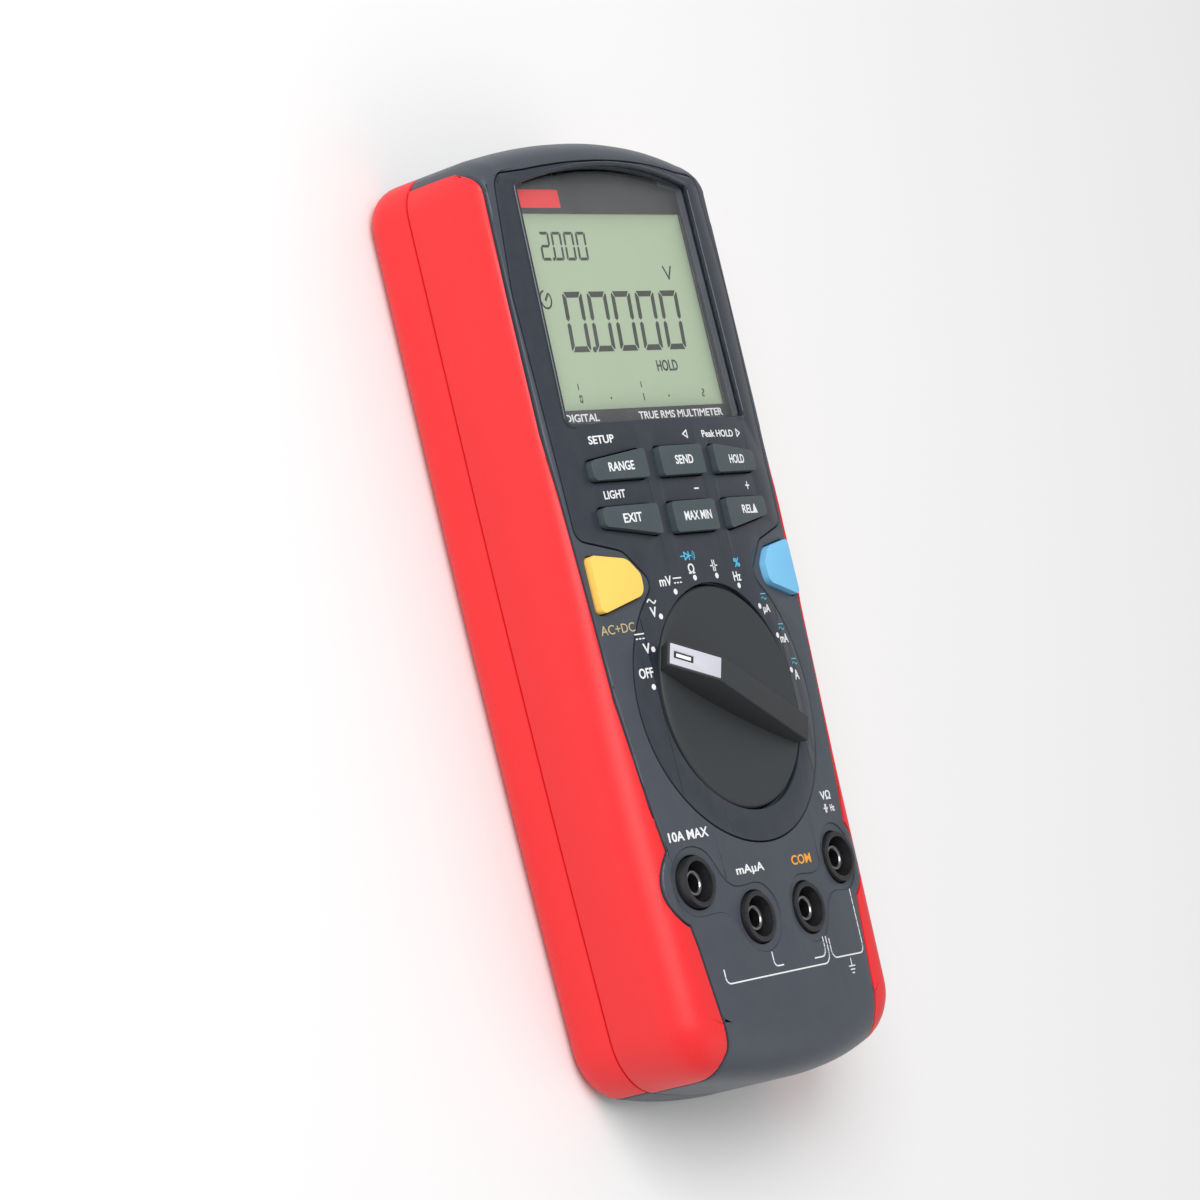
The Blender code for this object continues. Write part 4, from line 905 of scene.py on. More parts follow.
def moulded_surface():
    """The shared effect of moulded plastic and rubber: grain, mottling and light dust."""
    name = "moulded_surface"
    if name in bpy.data.node_groups:
        return bpy.data.node_groups[name]
    tree = bpy.data.node_groups.new(name, "ShaderNodeTree")
    sockets = (("Position", "NodeSocketVector", None), ("Colour", "NodeSocketColor", None),
               ("Mottle", "NodeSocketFloat", 0.1), ("Grain Scale", "NodeSocketFloat", 3000.0),
               ("Grain Depth", "NodeSocketFloat", 0.5), ("Roughness", "NodeSocketFloat", 0.4),
               ("Roughness Spread", "NodeSocketFloat", 0.1), ("Dust", "NodeSocketFloat", 0.05))
    for label, kind, value in sockets:
        socket = tree.interface.new_socket(label, in_out="INPUT", socket_type=kind)
        if value is not None:
            socket.default_value = value
    for label, kind in (("Base Color", "NodeSocketColor"), ("Roughness", "NodeSocketFloat"),
                        ("Bump Height", "NodeSocketFloat")):
        tree.interface.new_socket(label, in_out="OUTPUT", socket_type=kind)
    given = node(tree, "NodeGroupInput").outputs
    wanted = node(tree, "NodeGroupOutput").inputs
    broad = noise(tree, given["Position"], 45.0, 3.0)
    smear = noise(tree, given["Position"], 260.0, 4.0, 0.65)
    grain = noise(tree, given["Position"], given["Grain Scale"], 2.0, 0.6)
    tone = maths(tree, "MULTIPLY", maths(tree, "SUBTRACT", broad, 0.5), given["Mottle"])
    fine_tone = maths(tree, "MULTIPLY", maths(tree, "SUBTRACT", grain, 0.5), given["Mottle"])
    level = maths(tree, "ADD", maths(tree, "ADD", 1.0, tone), fine_tone)
    scaled = node(tree, "ShaderNodeVectorMath", operation="SCALE")
    tree.links.new(given["Colour"], scaled.inputs[0])
    tree.links.new(level, scaled.inputs["Scale"])
    dust = maths(tree, "MULTIPLY", maths(tree, "POWER", smear, 3.0), given["Dust"])
    coloured = mixed(tree, dust, scaled.outputs[0], (0.55, 0.55, 0.54))
    tree.links.new(coloured, wanted["Base Color"])
    spread = maths(tree, "MULTIPLY", maths(tree, "SUBTRACT", smear, 0.5),
                   given["Roughness Spread"])
    tree.links.new(maths(tree, "ADD", given["Roughness"], spread), wanted["Roughness"])
    tree.links.new(maths(tree, "MULTIPLY", grain, given["Grain Depth"]), wanted["Bump Height"])
    return tree


def start_material(name):
    """A new material with its tree, shader and object position."""
    material = bpy.data.materials.new(name)
    material.use_nodes = True
    tree = material.node_tree
    shader = tree.nodes["Principled BSDF"]
    position = node(tree, "ShaderNodeTexCoord").outputs["Object"]
    return material, tree, shader, position


def add_bump(tree, shader, height, distance):
    """Let a height shape the shader's normal."""
    bump = node(tree, "ShaderNodeBump")
    bump.inputs["Strength"].default_value = 1.0
    bump.inputs["Distance"].default_value = distance
    tree.links.new(height, bump.inputs["Height"])
    tree.links.new(bump.outputs["Normal"], shader.inputs["Normal"])


def moulded(name, colour, roughness, grain=3000.0, depth=0.03 * MM, mottle=0.12, spread=0.12,
            dust=0.05, metallic=0.0, sheen=0.0, coat=0.0, level=0.5):
    """Moulded plastic or rubber, or a plain metal, with the shared surface effect."""
    if name in bpy.data.materials:
        return bpy.data.materials[name]
    material, tree, shader, position = start_material(name)
    surface = node(tree, "ShaderNodeGroup", node_tree=moulded_surface())
    tree.links.new(position, surface.inputs["Position"])
    surface.inputs["Colour"].default_value = (*colour, 1.0)
    for label, value in (("Mottle", mottle), ("Grain Scale", grain), ("Grain Depth", 1.0),
                         ("Roughness", roughness), ("Roughness Spread", spread), ("Dust", dust)):
        surface.inputs[label].default_value = value
    tree.links.new(surface.outputs["Base Color"], shader.inputs["Base Color"])
    tree.links.new(surface.outputs["Roughness"], shader.inputs["Roughness"])
    add_bump(tree, shader, surface.outputs["Bump Height"], depth)
    shader.inputs["Metallic"].default_value = metallic
    shader.inputs["Sheen Weight"].default_value = sheen
    shader.inputs["Coat Weight"].default_value = coat
    shader.inputs["Specular IOR Level"].default_value = level
    return material


def grip_rubber():
    """Red rubber of the grips, softly shining."""
    return moulded("grip_rubber", colours().grip, 0.44, 2600.0, 0.025 * MM, 0.07, 0.1, 0.015)


def case_plastic():
    """Dark grey plastic of the shells."""
    return moulded("case_plastic", colours().case, 0.42, 3200.0, 0.03 * MM, 0.14, 0.1, 0.04)


def panel_plastic():
    """Darker and smoother plastic of the centre panel."""
    return moulded("centre_panel_plastic", colours().panel, 0.33, 3600.0, 0.015 * MM, 0.12,
                   0.08, 0.04)


def bezel_plastic():
    """Smooth plastic of the display's surround."""
    return moulded("bezel_plastic", colours().panel, 0.26, 3600.0, 0.008 * MM, 0.1, 0.06, 0.03)


def key_rubber():
    """Grey rubber of the six small keys."""
    return moulded("grey_key_rubber", colours().key, 0.45, 2600.0, 0.02 * MM, 0.12, 0.1, 0.06)


def black_plastic():
    """Black plastic of the jacks and small inner pieces."""
    return moulded("black_plastic", (0.012, 0.012, 0.014), 0.34, 3000.0, 0.01 * MM, 0.2, 0.1,
                   0.05)


def polished_metal(name, colour, roughness):
    """A plain metal with faint marks."""
    return moulded(name, colour, roughness, 1800.0, 0.004 * MM, 0.12, 0.14, 0.04, 1.0)


def white_ink():
    """White printing."""
    return moulded("white_ink", (0.82, 0.83, 0.84), 0.5, 4200.0, 0.01 * MM, 0.1, 0.1, 0.0)


def display_reflector():
    """Grey-green reflector of the display, with painted shade darkening it towards its edges, and a
    fine weave of cells.
    """
    material, tree, shader, position = start_material("display_reflector")
    separate = node(tree, "ShaderNodeSeparateXYZ")
    tree.links.new(position, separate.inputs[0])
    middle_y = (GLASS_LOW.y + GLASS_HIGH.y) / 2
    half = (GLASS_HIGH - GLASS_LOW) / 2
    across = maths(tree, "ABSOLUTE", maths(tree, "DIVIDE", separate.outputs["X"], half.x), 0.0)
    up = maths(tree, "ABSOLUTE", maths(tree, "DIVIDE", maths(
        tree, "SUBTRACT", separate.outputs["Y"], middle_y), half.y), 0.0)
    # Painted shade: the colour darkens towards the reflector's edges, in place of the shade that the
    # mask and surround cast there.
    edge = maths(tree, "MAXIMUM", maths(tree, "POWER", across, 14.0),
                 maths(tree, "POWER", up, 12.0))
    drift = noise(tree, position, 30.0, 2.0)
    painted_edge_shade_and_mottle = maths(tree, "ADD", maths(tree, "MULTIPLY", edge, 0.55),
                  maths(tree, "MULTIPLY", drift, 0.12))
    glass = tuple(colours().glass)
    # The darker colour is the painted shade at the edges.
    dark = (glass[0] * 0.35, glass[1] * 0.36, glass[2] * 0.36)
    tree.links.new(mixed(tree, painted_edge_shade_and_mottle, glass, dark), shader.inputs["Base Color"])
    speckle = noise(tree, position, 4500.0, 1.0)
    tree.links.new(maths(tree, "ADD", 0.32, maths(tree, "MULTIPLY", speckle, 0.12)),
                   shader.inputs["Roughness"])
    add_bump(tree, shader, speckle, 0.004 * MM)
    return material


def clear_lens():
    """Clear plastic of the lens: nearly all let through, with a trace of dust and smears."""
    material, tree, shader, position = start_material("clear_lens")
    smears = noise(tree, position, 90.0, 4.0, 0.6)
    specks = noise(tree, position, 2600.0, 2.0)
    haze = maths(tree, "ADD", 0.02, maths(tree, "MULTIPLY", smears, 0.05))
    tree.links.new(haze, shader.inputs["Alpha"])
    tree.links.new(maths(tree, "ADD", 0.05, maths(tree, "MULTIPLY", smears, 0.12)),
                   shader.inputs["Roughness"])
    tree.links.new(mixed(tree, specks, (0.75, 0.78, 0.78), (0.9, 0.92, 0.92)),
                   shader.inputs["Base Color"])
    return material


def tinted_window():
    """Dark red plastic of the data link's window."""
    return moulded("tinted_window", (0.05, 0.004, 0.008), 0.12, 900.0, 0.004 * MM, 0.2, 0.06,
                   0.03, coat=0.4)


def board_laminate():
    """Green circuit board with paler traces and tinned pads."""
    material, tree, shader, position = start_material("green_board_laminate")
    traces = node(tree, "ShaderNodeTexBrick")
    traces.inputs["Scale"].default_value = 170.0
    traces.inputs["Mortar Size"].default_value = 0.04
    tree.links.new(position, traces.inputs["Vector"])
    pads = node(tree, "ShaderNodeTexVoronoi")
    pads.inputs["Scale"].default_value = 240.0
    tree.links.new(position, pads.inputs["Vector"])
    is_pad = maths(tree, "LESS_THAN", pads.outputs["Distance"], 0.16)
    green = mixed(tree, traces.outputs["Fac"], (0.012, 0.11, 0.04), (0.03, 0.2, 0.08))
    tree.links.new(mixed(tree, is_pad, green, (0.6, 0.6, 0.58)), shader.inputs["Base Color"])
    tree.links.new(maths(tree, "SUBTRACT", 0.42, maths(tree, "MULTIPLY", is_pad, 0.15)),
                   shader.inputs["Roughness"])
    add_bump(tree, shader, maths(tree, "ADD", traces.outputs["Fac"], is_pad), 0.03 * MM)
    return material


def banded(name, node_name, axis, bands, roughness, metallic=0.0):
    """A finish in plain bands along one axis of a node: (share of its length, colour)."""
    material, tree, shader, position = start_material(name)
    low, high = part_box(node_name)
    index = "XYZ".index(axis)
    separate = node(tree, "ShaderNodeSeparateXYZ")
    tree.links.new(position, separate.inputs[0])
    span = maths(tree, "DIVIDE", maths(tree, "SUBTRACT", separate.outputs[axis], low[index]),
                 high[index] - low[index])
    ramp = node(tree, "ShaderNodeValToRGB")
    ramp.color_ramp.interpolation = "CONSTANT"
    while len(ramp.color_ramp.elements) < len(bands):
        ramp.color_ramp.elements.new(0.5)
    for element, (share, colour) in zip(ramp.color_ramp.elements, bands):
        element.position = share
        element.color = (*colour, 1.0)
    tree.links.new(span, ramp.inputs[0])
    drift = noise(tree, position, 300.0, 3.0)
    darker = mixed(tree, 1.0, ramp.outputs["Color"], (0.8, 0.8, 0.8), "MULTIPLY")
    tree.links.new(mixed(tree, drift, ramp.outputs["Color"], darker), shader.inputs["Base Color"])
    tree.links.new(maths(tree, "ADD", roughness, maths(tree, "MULTIPLY", drift, 0.15)),
                   shader.inputs["Roughness"])
    shader.inputs["Metallic"].default_value = metallic
    return material


def floor_paint():
    """Pale studio floor, which lets a camera below it look through."""
    material, tree, shader, position = start_material("floor_paint")
    drift = noise(tree, position, 6.0, 3.0)
    pale = tuple(colours().floor)
    tree.links.new(mixed(tree, drift, pale, tuple(c * 0.985 for c in pale)),
                   shader.inputs["Base Color"])
    tree.links.new(maths(tree, "ADD", 0.75, maths(tree, "MULTIPLY", drift, 0.1)),
                   shader.inputs["Roughness"])
    shader.inputs["Specular IOR Level"].default_value = 0.2
    clear = node(tree, "ShaderNodeBsdfTransparent")
    chosen = node(tree, "ShaderNodeMixShader")
    behind = node(tree, "ShaderNodeNewGeometry").outputs["Backfacing"]
    tree.links.new(behind, chosen.inputs["Fac"])
    tree.links.new(shader.outputs["BSDF"], chosen.inputs[1])
    tree.links.new(clear.outputs["BSDF"], chosen.inputs[2])
    tree.links.new(chosen.outputs["Shader"],
                   tree.nodes["Material Output"].inputs["Surface"])
    return material


# ---------------------------------------------------------------- shells and grips

def table_block(name):
    """A block from the table."""
    low, high = BLOCKS[name]
    return add_block(name, Vector(low) * MM, Vector(high) * MM)


def key_outline(name):
    """Outline of one of the eight keys, in metres."""
    if name == "yellow_key":
        return mirrored(rounded(SIDE_KEY), -1)
    if name == "blue_key":
        return rounded(SIDE_KEY)
    return rounded(KEYS[name])


def face_openings():
    """Cutters for the lens, the dial and the six small keys."""
    tools = [prism("lens_pit", grown(lens_outline(), GAP), LENS_LOW.z - GAP, 50 * MM),
             add_drum("dial_pit", *DIAL_CENTRE.xy, DIAL_RADIUS + 0.5 * MM,
                      DIAL_BOTTOM_Z - GAP, 50 * MM, 96)]
    for name in KEYS:
        tools.append(prism(name + "_opening", grown(key_outline(name), GAP), 20 * MM, 50 * MM))
    return tools


def make_front_shell():
    """The grey front shell with its seats, pits, openings and bosses."""
    shell = front_form("front_shell", 0.0, SEAM_HIGH)
    below = SEAM_HIGH - 6.0 * MM
    grip_seat = front_form("grip_seat", GRIP_THICKNESS + GAP, below, COARSE)
    for side in (-1, 1):
        region = prism("grip_region", grip_border(side), 0.0, 50 * MM)
        cut(region, grip_seat, keep=True)
        cut(shell, region)
    recess = prism("panel_recess", grown(panel_outline(), GAP), 0.0, 50 * MM)
    cut(recess, front_form("panel_seat", PANEL_THICKNESS + GAP, below, COARSE))
    cut(shell, recess, front_form("front_hollow", WALL, below, COARSE))
    discard(grip_seat)
    join(shell, add_drum("dial_pad", *DIAL_CENTRE.xy, 27.5 * MM, 29.0 * MM, 32.1 * MM, 64))
    join(shell, table_block("detent_rib"))
    cut(shell, *face_openings(), table_block("lcd_opening"), table_block("link_opening"),
        add_drum("shaft_opening", *DIAL_CENTRE.xy, SHAFT_RADIUS + GAP, 25 * MM, 40 * MM))
    for name in ("yellow_key", "blue_key"):
        cut(shell, prism(name + "_opening", grown(key_outline(name), GAP), 20 * MM, 50 * MM))
    for side in (-1, 1):
        island = prism("island", island_outline(side), 30 * MM, 50 * MM)
        cut(island, front_form("island_floor", JACK_ISLAND_DEPTH, SEAM_HIGH, COARSE))
        cut(shell, island)
    for jack in JACKS:
        cut(shell, add_drum("jack_opening", jack.x, jack.y, JACK_RIM_RADIUS + GAP, 20 * MM,
                            50 * MM, 48))
    soften(clean(shell), sizes().edge)
    return place_on(smooth(shell), "body", case_plastic(), "grey_case", "front_case")


def make_front_grips():
    """The two red grips on the front shell."""
    grip = prism("right_front_rubber", grip_border(1, sizes().groove), 0.0, 50 * MM)
    keep_inside(grip, front_form("grip_form", 0.0, SEAM_HIGH))
    cut(grip, front_form("grip_inside", GRIP_THICKNESS, SEAM_HIGH - 6.0 * MM, COARSE))
    soften(clean(grip), sizes().edge)
    smooth(grip)
    left = mirror_of(grip, "left_front_rubber")
    place_on(grip, "body", grip_rubber(), "red_grip", "right_front_grip")
    place_on(left, "body", grip_rubber(), "red_grip", "left_front_grip")


def make_centre_panel():
    """The dark panel let into the face."""
    panel = prism("face_panel", panel_outline(), 20 * MM, 50 * MM)
    keep_inside(panel, front_form("panel_form", 0.0, SEAM_HIGH))
    cut(panel, front_form("panel_inside", PANEL_THICKNESS, SEAM_HIGH - 6.0 * MM, COARSE),
        *face_openings())
    soften(clean(panel), sizes().edge)
    place_on(smooth(panel), "body", panel_plastic(), "panel_plastic", "centre_panel")


def ring_loft(name, rings):
    """A closed band lofted through rings of points, the last joined to the first."""
    shape = bmesh.new()
    layers = [[shape.verts.new(place) for place in ring] for ring in rings]
    stitch(shape, layers + [layers[0]])
    return from_shape(name, shape)


def make_bezel():
    """The low rounded surround along the edge of the lens opening."""
    def ring(distance, rise):
        return [(x, y, crown(x) + rise) for x, y in lens_outline(distance)]

    rings = [ring(BEZEL_WIDTH, -0.4 * MM), ring(BEZEL_WIDTH, 0.03 * MM),
             ring(BEZEL_WIDTH - 0.2 * MM, 0.2 * MM), ring(BEZEL_WIDTH * 0.5, 0.3 * MM),
             ring(0.3 * MM, 0.2 * MM), ring(0.12 * MM, 0.02 * MM), ring(0.08 * MM, -0.25 * MM),
             ring(0.08 * MM, -0.7 * MM)]
    bezel = ring_loft("display_bezel", rings)
    place_on(smooth(bezel, 60), "body", bezel_plastic(), "panel_plastic")


def make_rear_shell():
    """The rear shell: floor, battery bay, stand recess and screw holes."""
    shell = rear_form("rear_shell", 0.0, 0.0, SEAM_LOW)
    high = SEAM_LOW + 6.0 * MM
    seat_depth = GRIP_THICKNESS + GAP
    seat = rear_form("rear_seat", seat_depth, seat_depth, high, COARSE)
    for side in (-1, 1):
        region = prism("rear_region", rear_region(side), -5 * MM, 30 * MM)
        cut(region, seat, keep=True)
        cut(shell, region)
    discard(seat)
    cut(shell, rear_form("rear_hollow", WALL, BACK_WALL, high, COARSE))
    join(shell, table_block("thick_floor"))
    limit = rear_form("rear_limit", 1.9 * MM, 1.9 * MM, high, COARSE)
    for screw in SCREWS:
        boss = add_drum("rear_boss", screw.x, screw.y, BOSS_RADIUS + 0.6 * MM, 2.0 * MM,
                        SEAM_LOW - 0.25 * MM, 24)
        join(shell, keep_inside(boss, limit, keep=True))
    discard(limit)
    join(shell, table_block("bay_walls"))
    recesses = []
    for name in ("door_recess", "stand_recess"):
        (x0, y0, z0), (x1, y1, z1) = BLOCKS[name]
        outline = rounded([(x0, y0, 2.3), (x1, y0, 2.3), (x1, y1, 2.3), (x0, y1, 2.3)])
        recesses.append(prism(name, outline, z0 * MM, z1 * MM))
    cut(shell, table_block("bay_opening"), *recesses)
    deselect_all()
    bpy.ops.mesh.primitive_cylinder_add(vertices=24, radius=1.25 * MM, depth=53.4 * MM,
                                        location=(0.0, HINGE_Y, HINGE_Z),
                                        rotation=(0.0, math.pi / 2, 0.0))
    pins = set_place(bpy.context.object)
    cut(shell, pins, add_drum("finger_dip", 0.0, -76.0 * MM, 6.0 * MM, -2.5 * MM, 2.5 * MM),
        add_drum("door_pilot", 0.0, DOOR_SCREW_Y, 1.4 * MM, -1.0 * MM, 5.0 * MM, 24))
    for screw in SCREWS:
        cut(shell, add_drum("screw_hole", screw.x, screw.y, SCREW_SHANK_RADIUS + GAP,
                            -1.0 * MM, 15.0 * MM, 24),
            add_drum("screw_sink", screw.x, screw.y, SCREW_HEAD_RADIUS + GAP, -1.0 * MM,
                     3.0 * MM, 32))
    soften(clean(shell), sizes().edge)
    place_on(smooth(rest_on_floor(shell)), "body", case_plastic(), "grey_case", "rear_case")


def make_rear_grips():
    """The two red grips on the rear shell."""
    grip = prism("right_rear_rubber", rear_region(1, sizes().groove), -5 * MM, 30 * MM)
    keep_inside(grip, rear_form("rear_grip_form", 0.0, 0.0, SEAM_LOW))
    cut(grip, rear_form("rear_grip_inside", GRIP_THICKNESS, GRIP_THICKNESS,
                        SEAM_LOW + 6.0 * MM, COARSE))
    soften(clean(grip), sizes().edge)
    smooth(grip)
    left = mirror_of(grip, "left_rear_rubber")
    place_on(grip, "body", grip_rubber(), "red_grip", "right_rear_grip")
    place_on(left, "body", grip_rubber(), "red_grip", "left_rear_grip")


# ---------------------------------------------------------------- display

def flat_piece(name, polygons, low, thickness):
    """Flat shapes, each a closed outline in metres, given a thickness."""
    mesh = bpy.data.meshes.new(name)
    points = []
    faces = []
    for outline in polygons:
        start = len(points)
        points += [(x, y, 0.0) for x, y in outline]
        faces.append(list(range(start, len(points))))
    mesh.from_pydata(points, [], faces)
    piece = link(name, mesh)
    edit(piece)
    bpy.ops.mesh.select_all(action="SELECT")
    bpy.ops.mesh.extrude_region_move(TRANSFORM_OT_translate={"value": (0, 0, thickness)})
    bpy.ops.mesh.select_all(action="SELECT")
    bpy.ops.mesh.normals_make_consistent(inside=False)
    bpy.ops.transform.translate(value=(0, 0, low))
    return close(piece)


def stroke(points, width, longest=2.0):
    """Outlines, in metres, of a line drawn through points given in millimetres.

    A long run is drawn in short lengths, so that it can follow the crown.
    """
    result = []
    half = width / 2
    for a, b in zip(points, points[1:]):
        a, b = Vector(a), Vector(b)
        along = (b - a).normalized() * half
        across = Vector((-along.y, along.x))
        parts = max(1, math.ceil((b - a).length / longest))
        for part in range(parts):
            start, end = a.lerp(b, part / parts), a.lerp(b, (part + 1) / parts)
            corners = (start - along - across, end + along - across, end + along + across,
                       start - along + across)
            result.append([tuple(corner * MM) for corner in corners])
    return result


def disc(x, y, radius, sides=20):
    """Outline, in metres, of a dot given in millimetres."""
    return [((x + radius * math.cos(2 * math.pi * k / sides)) * MM,
             (y + radius * math.sin(2 * math.pi * k / sides)) * MM) for k in range(sides)]


def arc(x, y, radius, start, end, steps=16):
    """Points in millimetres on an arc, its angles in degrees."""
    return [(x + radius * math.cos(math.radians(start + (end - start) * k / steps)),
             y + radius * math.sin(math.radians(start + (end - start) * k / steps)))
            for k in range(steps + 1)]


SEGMENTS_OF = {"0": "abcdef", "2": "abged"}


def digit(character, x, y, width, height, thick, gap, slant):
    """Outlines, in metres, of a digit's lit segments."""
    t, w, h, g = thick, width, height, gap
    middle = h / 2
    shapes = {
        "a": [(0.35 * t + g, h), (w - 0.35 * t - g, h), (w - t - g, h - t), (t + g, h - t)],
        "d": [(0.35 * t + g, 0), (t + g, t), (w - t - g, t), (w - 0.35 * t - g, 0)],
        "f": [(0, h - 0.5 * t), (0.25 * t, h - 0.3 * t), (t, h - t - g), (t, middle + 0.6 * t),
              (0.5 * t, middle + g), (0, middle + 0.5 * t)],
        "b": [(w, h - 0.5 * t), (w, middle + 0.5 * t), (w - 0.5 * t, middle + g),
              (w - t, middle + 0.6 * t), (w - t, h - t - g), (w - 0.25 * t, h - 0.3 * t)],
        "e": [(0, 0.5 * t), (0, middle - 0.5 * t), (0.5 * t, middle - g),
              (t, middle - 0.6 * t), (t, t + g), (0.25 * t, 0.3 * t)],
        "c": [(w, 0.5 * t), (w - 0.25 * t, 0.3 * t), (w - t, t + g), (w - t, middle - 0.6 * t),
              (w - 0.5 * t, middle - g), (w, middle - 0.5 * t)],
        "g": [(t, middle - 0.45 * t), (w - t, middle - 0.45 * t), (w - 0.6 * t, middle),
              (w - t, middle + 0.45 * t), (t, middle + 0.45 * t), (0.6 * t, middle)],
    }
    return [[((x + px + py * slant) * MM, (y + py) * MM) for px, py in shapes[segment]]
            for segment in SEGMENTS_OF[character]]


def make_display():
    """The reflector, its lit segments, the black mask, the red tile and the lens."""
    glass = add_block("display_glass", GLASS_LOW, GLASS_HIGH)
    edit(glass)
    select_faces(glass, lambda centre, normal: normal.z > 0.9)
    bpy.ops.mesh.inset(thickness=0.6 * MM, depth=0.0)
    close(glass)
    soften(glass, 0.12 * MM)
    place_on(smooth(glass), "body", display_reflector(), "lcd", "lcd_glass")

    shapes = []
    for k, character in enumerate("00000"):
        shapes += digit(character, -21.3 + 8.85 * k, 55.6, 7.0, 13.2, 1.25, 0.16, 0.095)
    shapes.append(disc(-13.0, 56.1, 0.65))
    for k, character in enumerate("2000"):
        shapes += digit(character, -24.0 + 4.4 * k, 75.7, 3.5, 6.3, 0.62, 0.1, 0.095)
    shapes.append(disc(-19.9, 76.0, 0.38))
    shapes += stroke([(19.4, 74.1), (20.8, 71.5), (22.2, 74.1)], 0.45)
    shapes += stroke(arc(-26.3, 67.2, 1.9, 100, 400, 20), 0.38)
    shapes += stroke([(-26.3, 67.2), (-25.3, 68.3)], 0.6)
    for x in (-22.2, 0.8):
        shapes += stroke([(x, 47.6), (x, 48.6)], 0.28)
    for x in (-11.2, 10.2):
        shapes.append(disc(x, 45.4, 0.26, 10))
    shapes += digit("0", -22.6, 44.6, 1.0, 1.7, 0.3, 0.02, 0.0)
    shapes += digit("2", 22.8, 44.9, 1.0, 1.7, 0.3, 0.02, 0.0)
    shapes += stroke([(0.8, 44.7), (0.8, 46.0)], 0.28)
    lit = flat_piece("lit_segments", shapes, GLASS_HIGH.z + 0.03 * MM, 0.03 * MM)
    word = letters("HOLD", 8.3, 16.1, 52.1, 2.5, GLASS_HIGH.z + 0.03 * MM)
    lit = merge("lit_segments", [lit, word])
    place_on(lit, "body", moulded("segment_ink", (0.012, 0.016, 0.012), 0.4, 3000.0,
                                  0.002 * MM, 0.2, 0.05, 0.0), "lcd")

    low_y, high_y = 43.0 * MM, 86.0 * MM
    half_x = 30.2 * MM
    lens = grown(lens_outline(), -0.3 * MM)
    mask = prism("lens_mask", lens, LENS_LOW.z - 0.22 * MM, LENS_LOW.z - 0.06 * MM)
    cut(mask, add_block("mask_window", (-half_x, low_y, 20 * MM), (half_x, high_y, 40 * MM)))
    soften(mask, 0.04 * MM, 1)
    place_on(smooth(mask), "body", moulded("mask_ink", (0.011, 0.012, 0.015), 0.3, 3000.0,
                                           0.003 * MM, 0.2, 0.06, 0.04), "lens_plastic")

    tile = prism("red_tile", rounded([(-28.6, 87.2, 0.3), (-13.4, 87.2, 0.3), (-13.4, 91.2, 0.3),
                                      (-28.6, 91.2, 0.3)]), LENS_LOW.z - 0.06 * MM,
                 LENS_LOW.z - 0.02 * MM)
    place_on(smooth(tile), "body", moulded("tile_ink", (0.75, 0.015, 0.02), 0.4, 3000.0,
                                           0.003 * MM, 0.1, 0.06, 0.0), "lens_plastic")

    pane = prism("lens_pane", lens_outline(), LENS_LOW.z, LENS_HIGH.z)
    soften(pane, 0.2 * MM)
    place_on(smooth(pane), "body", clear_lens(), "lens_plastic", "display_lens")


# ---------------------------------------------------------------- keys

def make_key(name, height, chamfer, finish, slot):
    """A key: extruded from its outline, its top following the crown, its edge rounded."""
    outline = key_outline(name)
    flange_low, flange_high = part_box(name)
    key = prism(name + "_cap", outline, KEY_BOTTOM_Z, 50 * MM)
    keep_inside(key, front_form("key_limit", -height, SEAM_HIGH))
    clean(key, flat=0.05)
    deselect_all()
    activate(key)
    rise = key.modifiers.new("round", "BEVEL")
    rise.width = chamfer
    rise.segments = 4
    rise.limit_method = "ANGLE"
    rise.angle_limit = math.radians(55.0)
    apply_modifier(key, rise)
    skirt = prism(name + "_skirt", grown(outline, 0.8 * MM), KEY_BOTTOM_Z, KEY_FLANGE_Z)
    limit = add_block("skirt_limit", (flange_low.x, flange_low.y, KEY_BOTTOM_Z - 1 * MM),
                      (flange_high.x, flange_high.y, KEY_FLANGE_Z + 1 * MM))
    join(key, keep_inside(skirt, limit))
    return place_on(smooth(key, 40), name, finish, slot, name)


def make_keys():
    """Six grey keys, a yellow one and a blue one."""
    for name in KEYS:
        make_key(name, KEY_PROUD, 0.5 * MM, key_rubber(), "key_rubber")
    yellow = moulded("yellow_key_rubber", colours().yellow, 0.4, 2600.0, 0.02 * MM, 0.06, 0.1,
                     0.02)
    blue = moulded("blue_key_rubber", colours().blue, 0.4, 2600.0, 0.02 * MM, 0.06, 0.1, 0.02)
    make_key("yellow_key", KEY_PROUD, 1.1 * MM, yellow, "yellow_key_rubber")
    make_key("blue_key", KEY_PROUD, 1.1 * MM, blue, "blue_key_rubber")


# ---------------------------------------------------------------- dial

def bar_profile(name, profile, half_width):
    """A solid on the pointing line: a side profile, in millimetres, given a half width."""
    along = Vector((math.cos(BAR_ANGLE), math.sin(BAR_ANGLE)))
    across = Vector((-along.y, along.x))
    shape = bmesh.new()
    faces = []
    for side in (-half_width, half_width):
        ring = []
        for distance, height in profile:
            x, y = DIAL_CENTRE.xy + along * distance * MM + across * side
            ring.append(shape.verts.new((x, y, height * MM)))
        faces.append(ring)
    near, far = faces
    shape.faces.new(near)
    shape.faces.new(list(reversed(far)))
    count = len(near)
    for k in range(count):
        after = (k + 1) % count
        shape.faces.new((near[k], far[k], far[after], near[after]))
    return from_shape(name, shape)


def pointer_slab(name, start, end, low_depth, high_depth, half_width):
    """A slab along the bar's sloping pointer end, between two depths under its top."""
    slope = (BAR_TIP[1] - BAR_PEAK[1]) / (BAR_TIP[0] - BAR_PEAK[0])

    def top(distance):
        return BAR_PEAK[1] + slope * (distance - BAR_PEAK[0])

    return bar_profile(name, [(start, top(start) - low_depth), (end, top(end) - low_depth),
                              (end, top(end) - high_depth), (start, top(start) - high_depth)],
                       half_width)


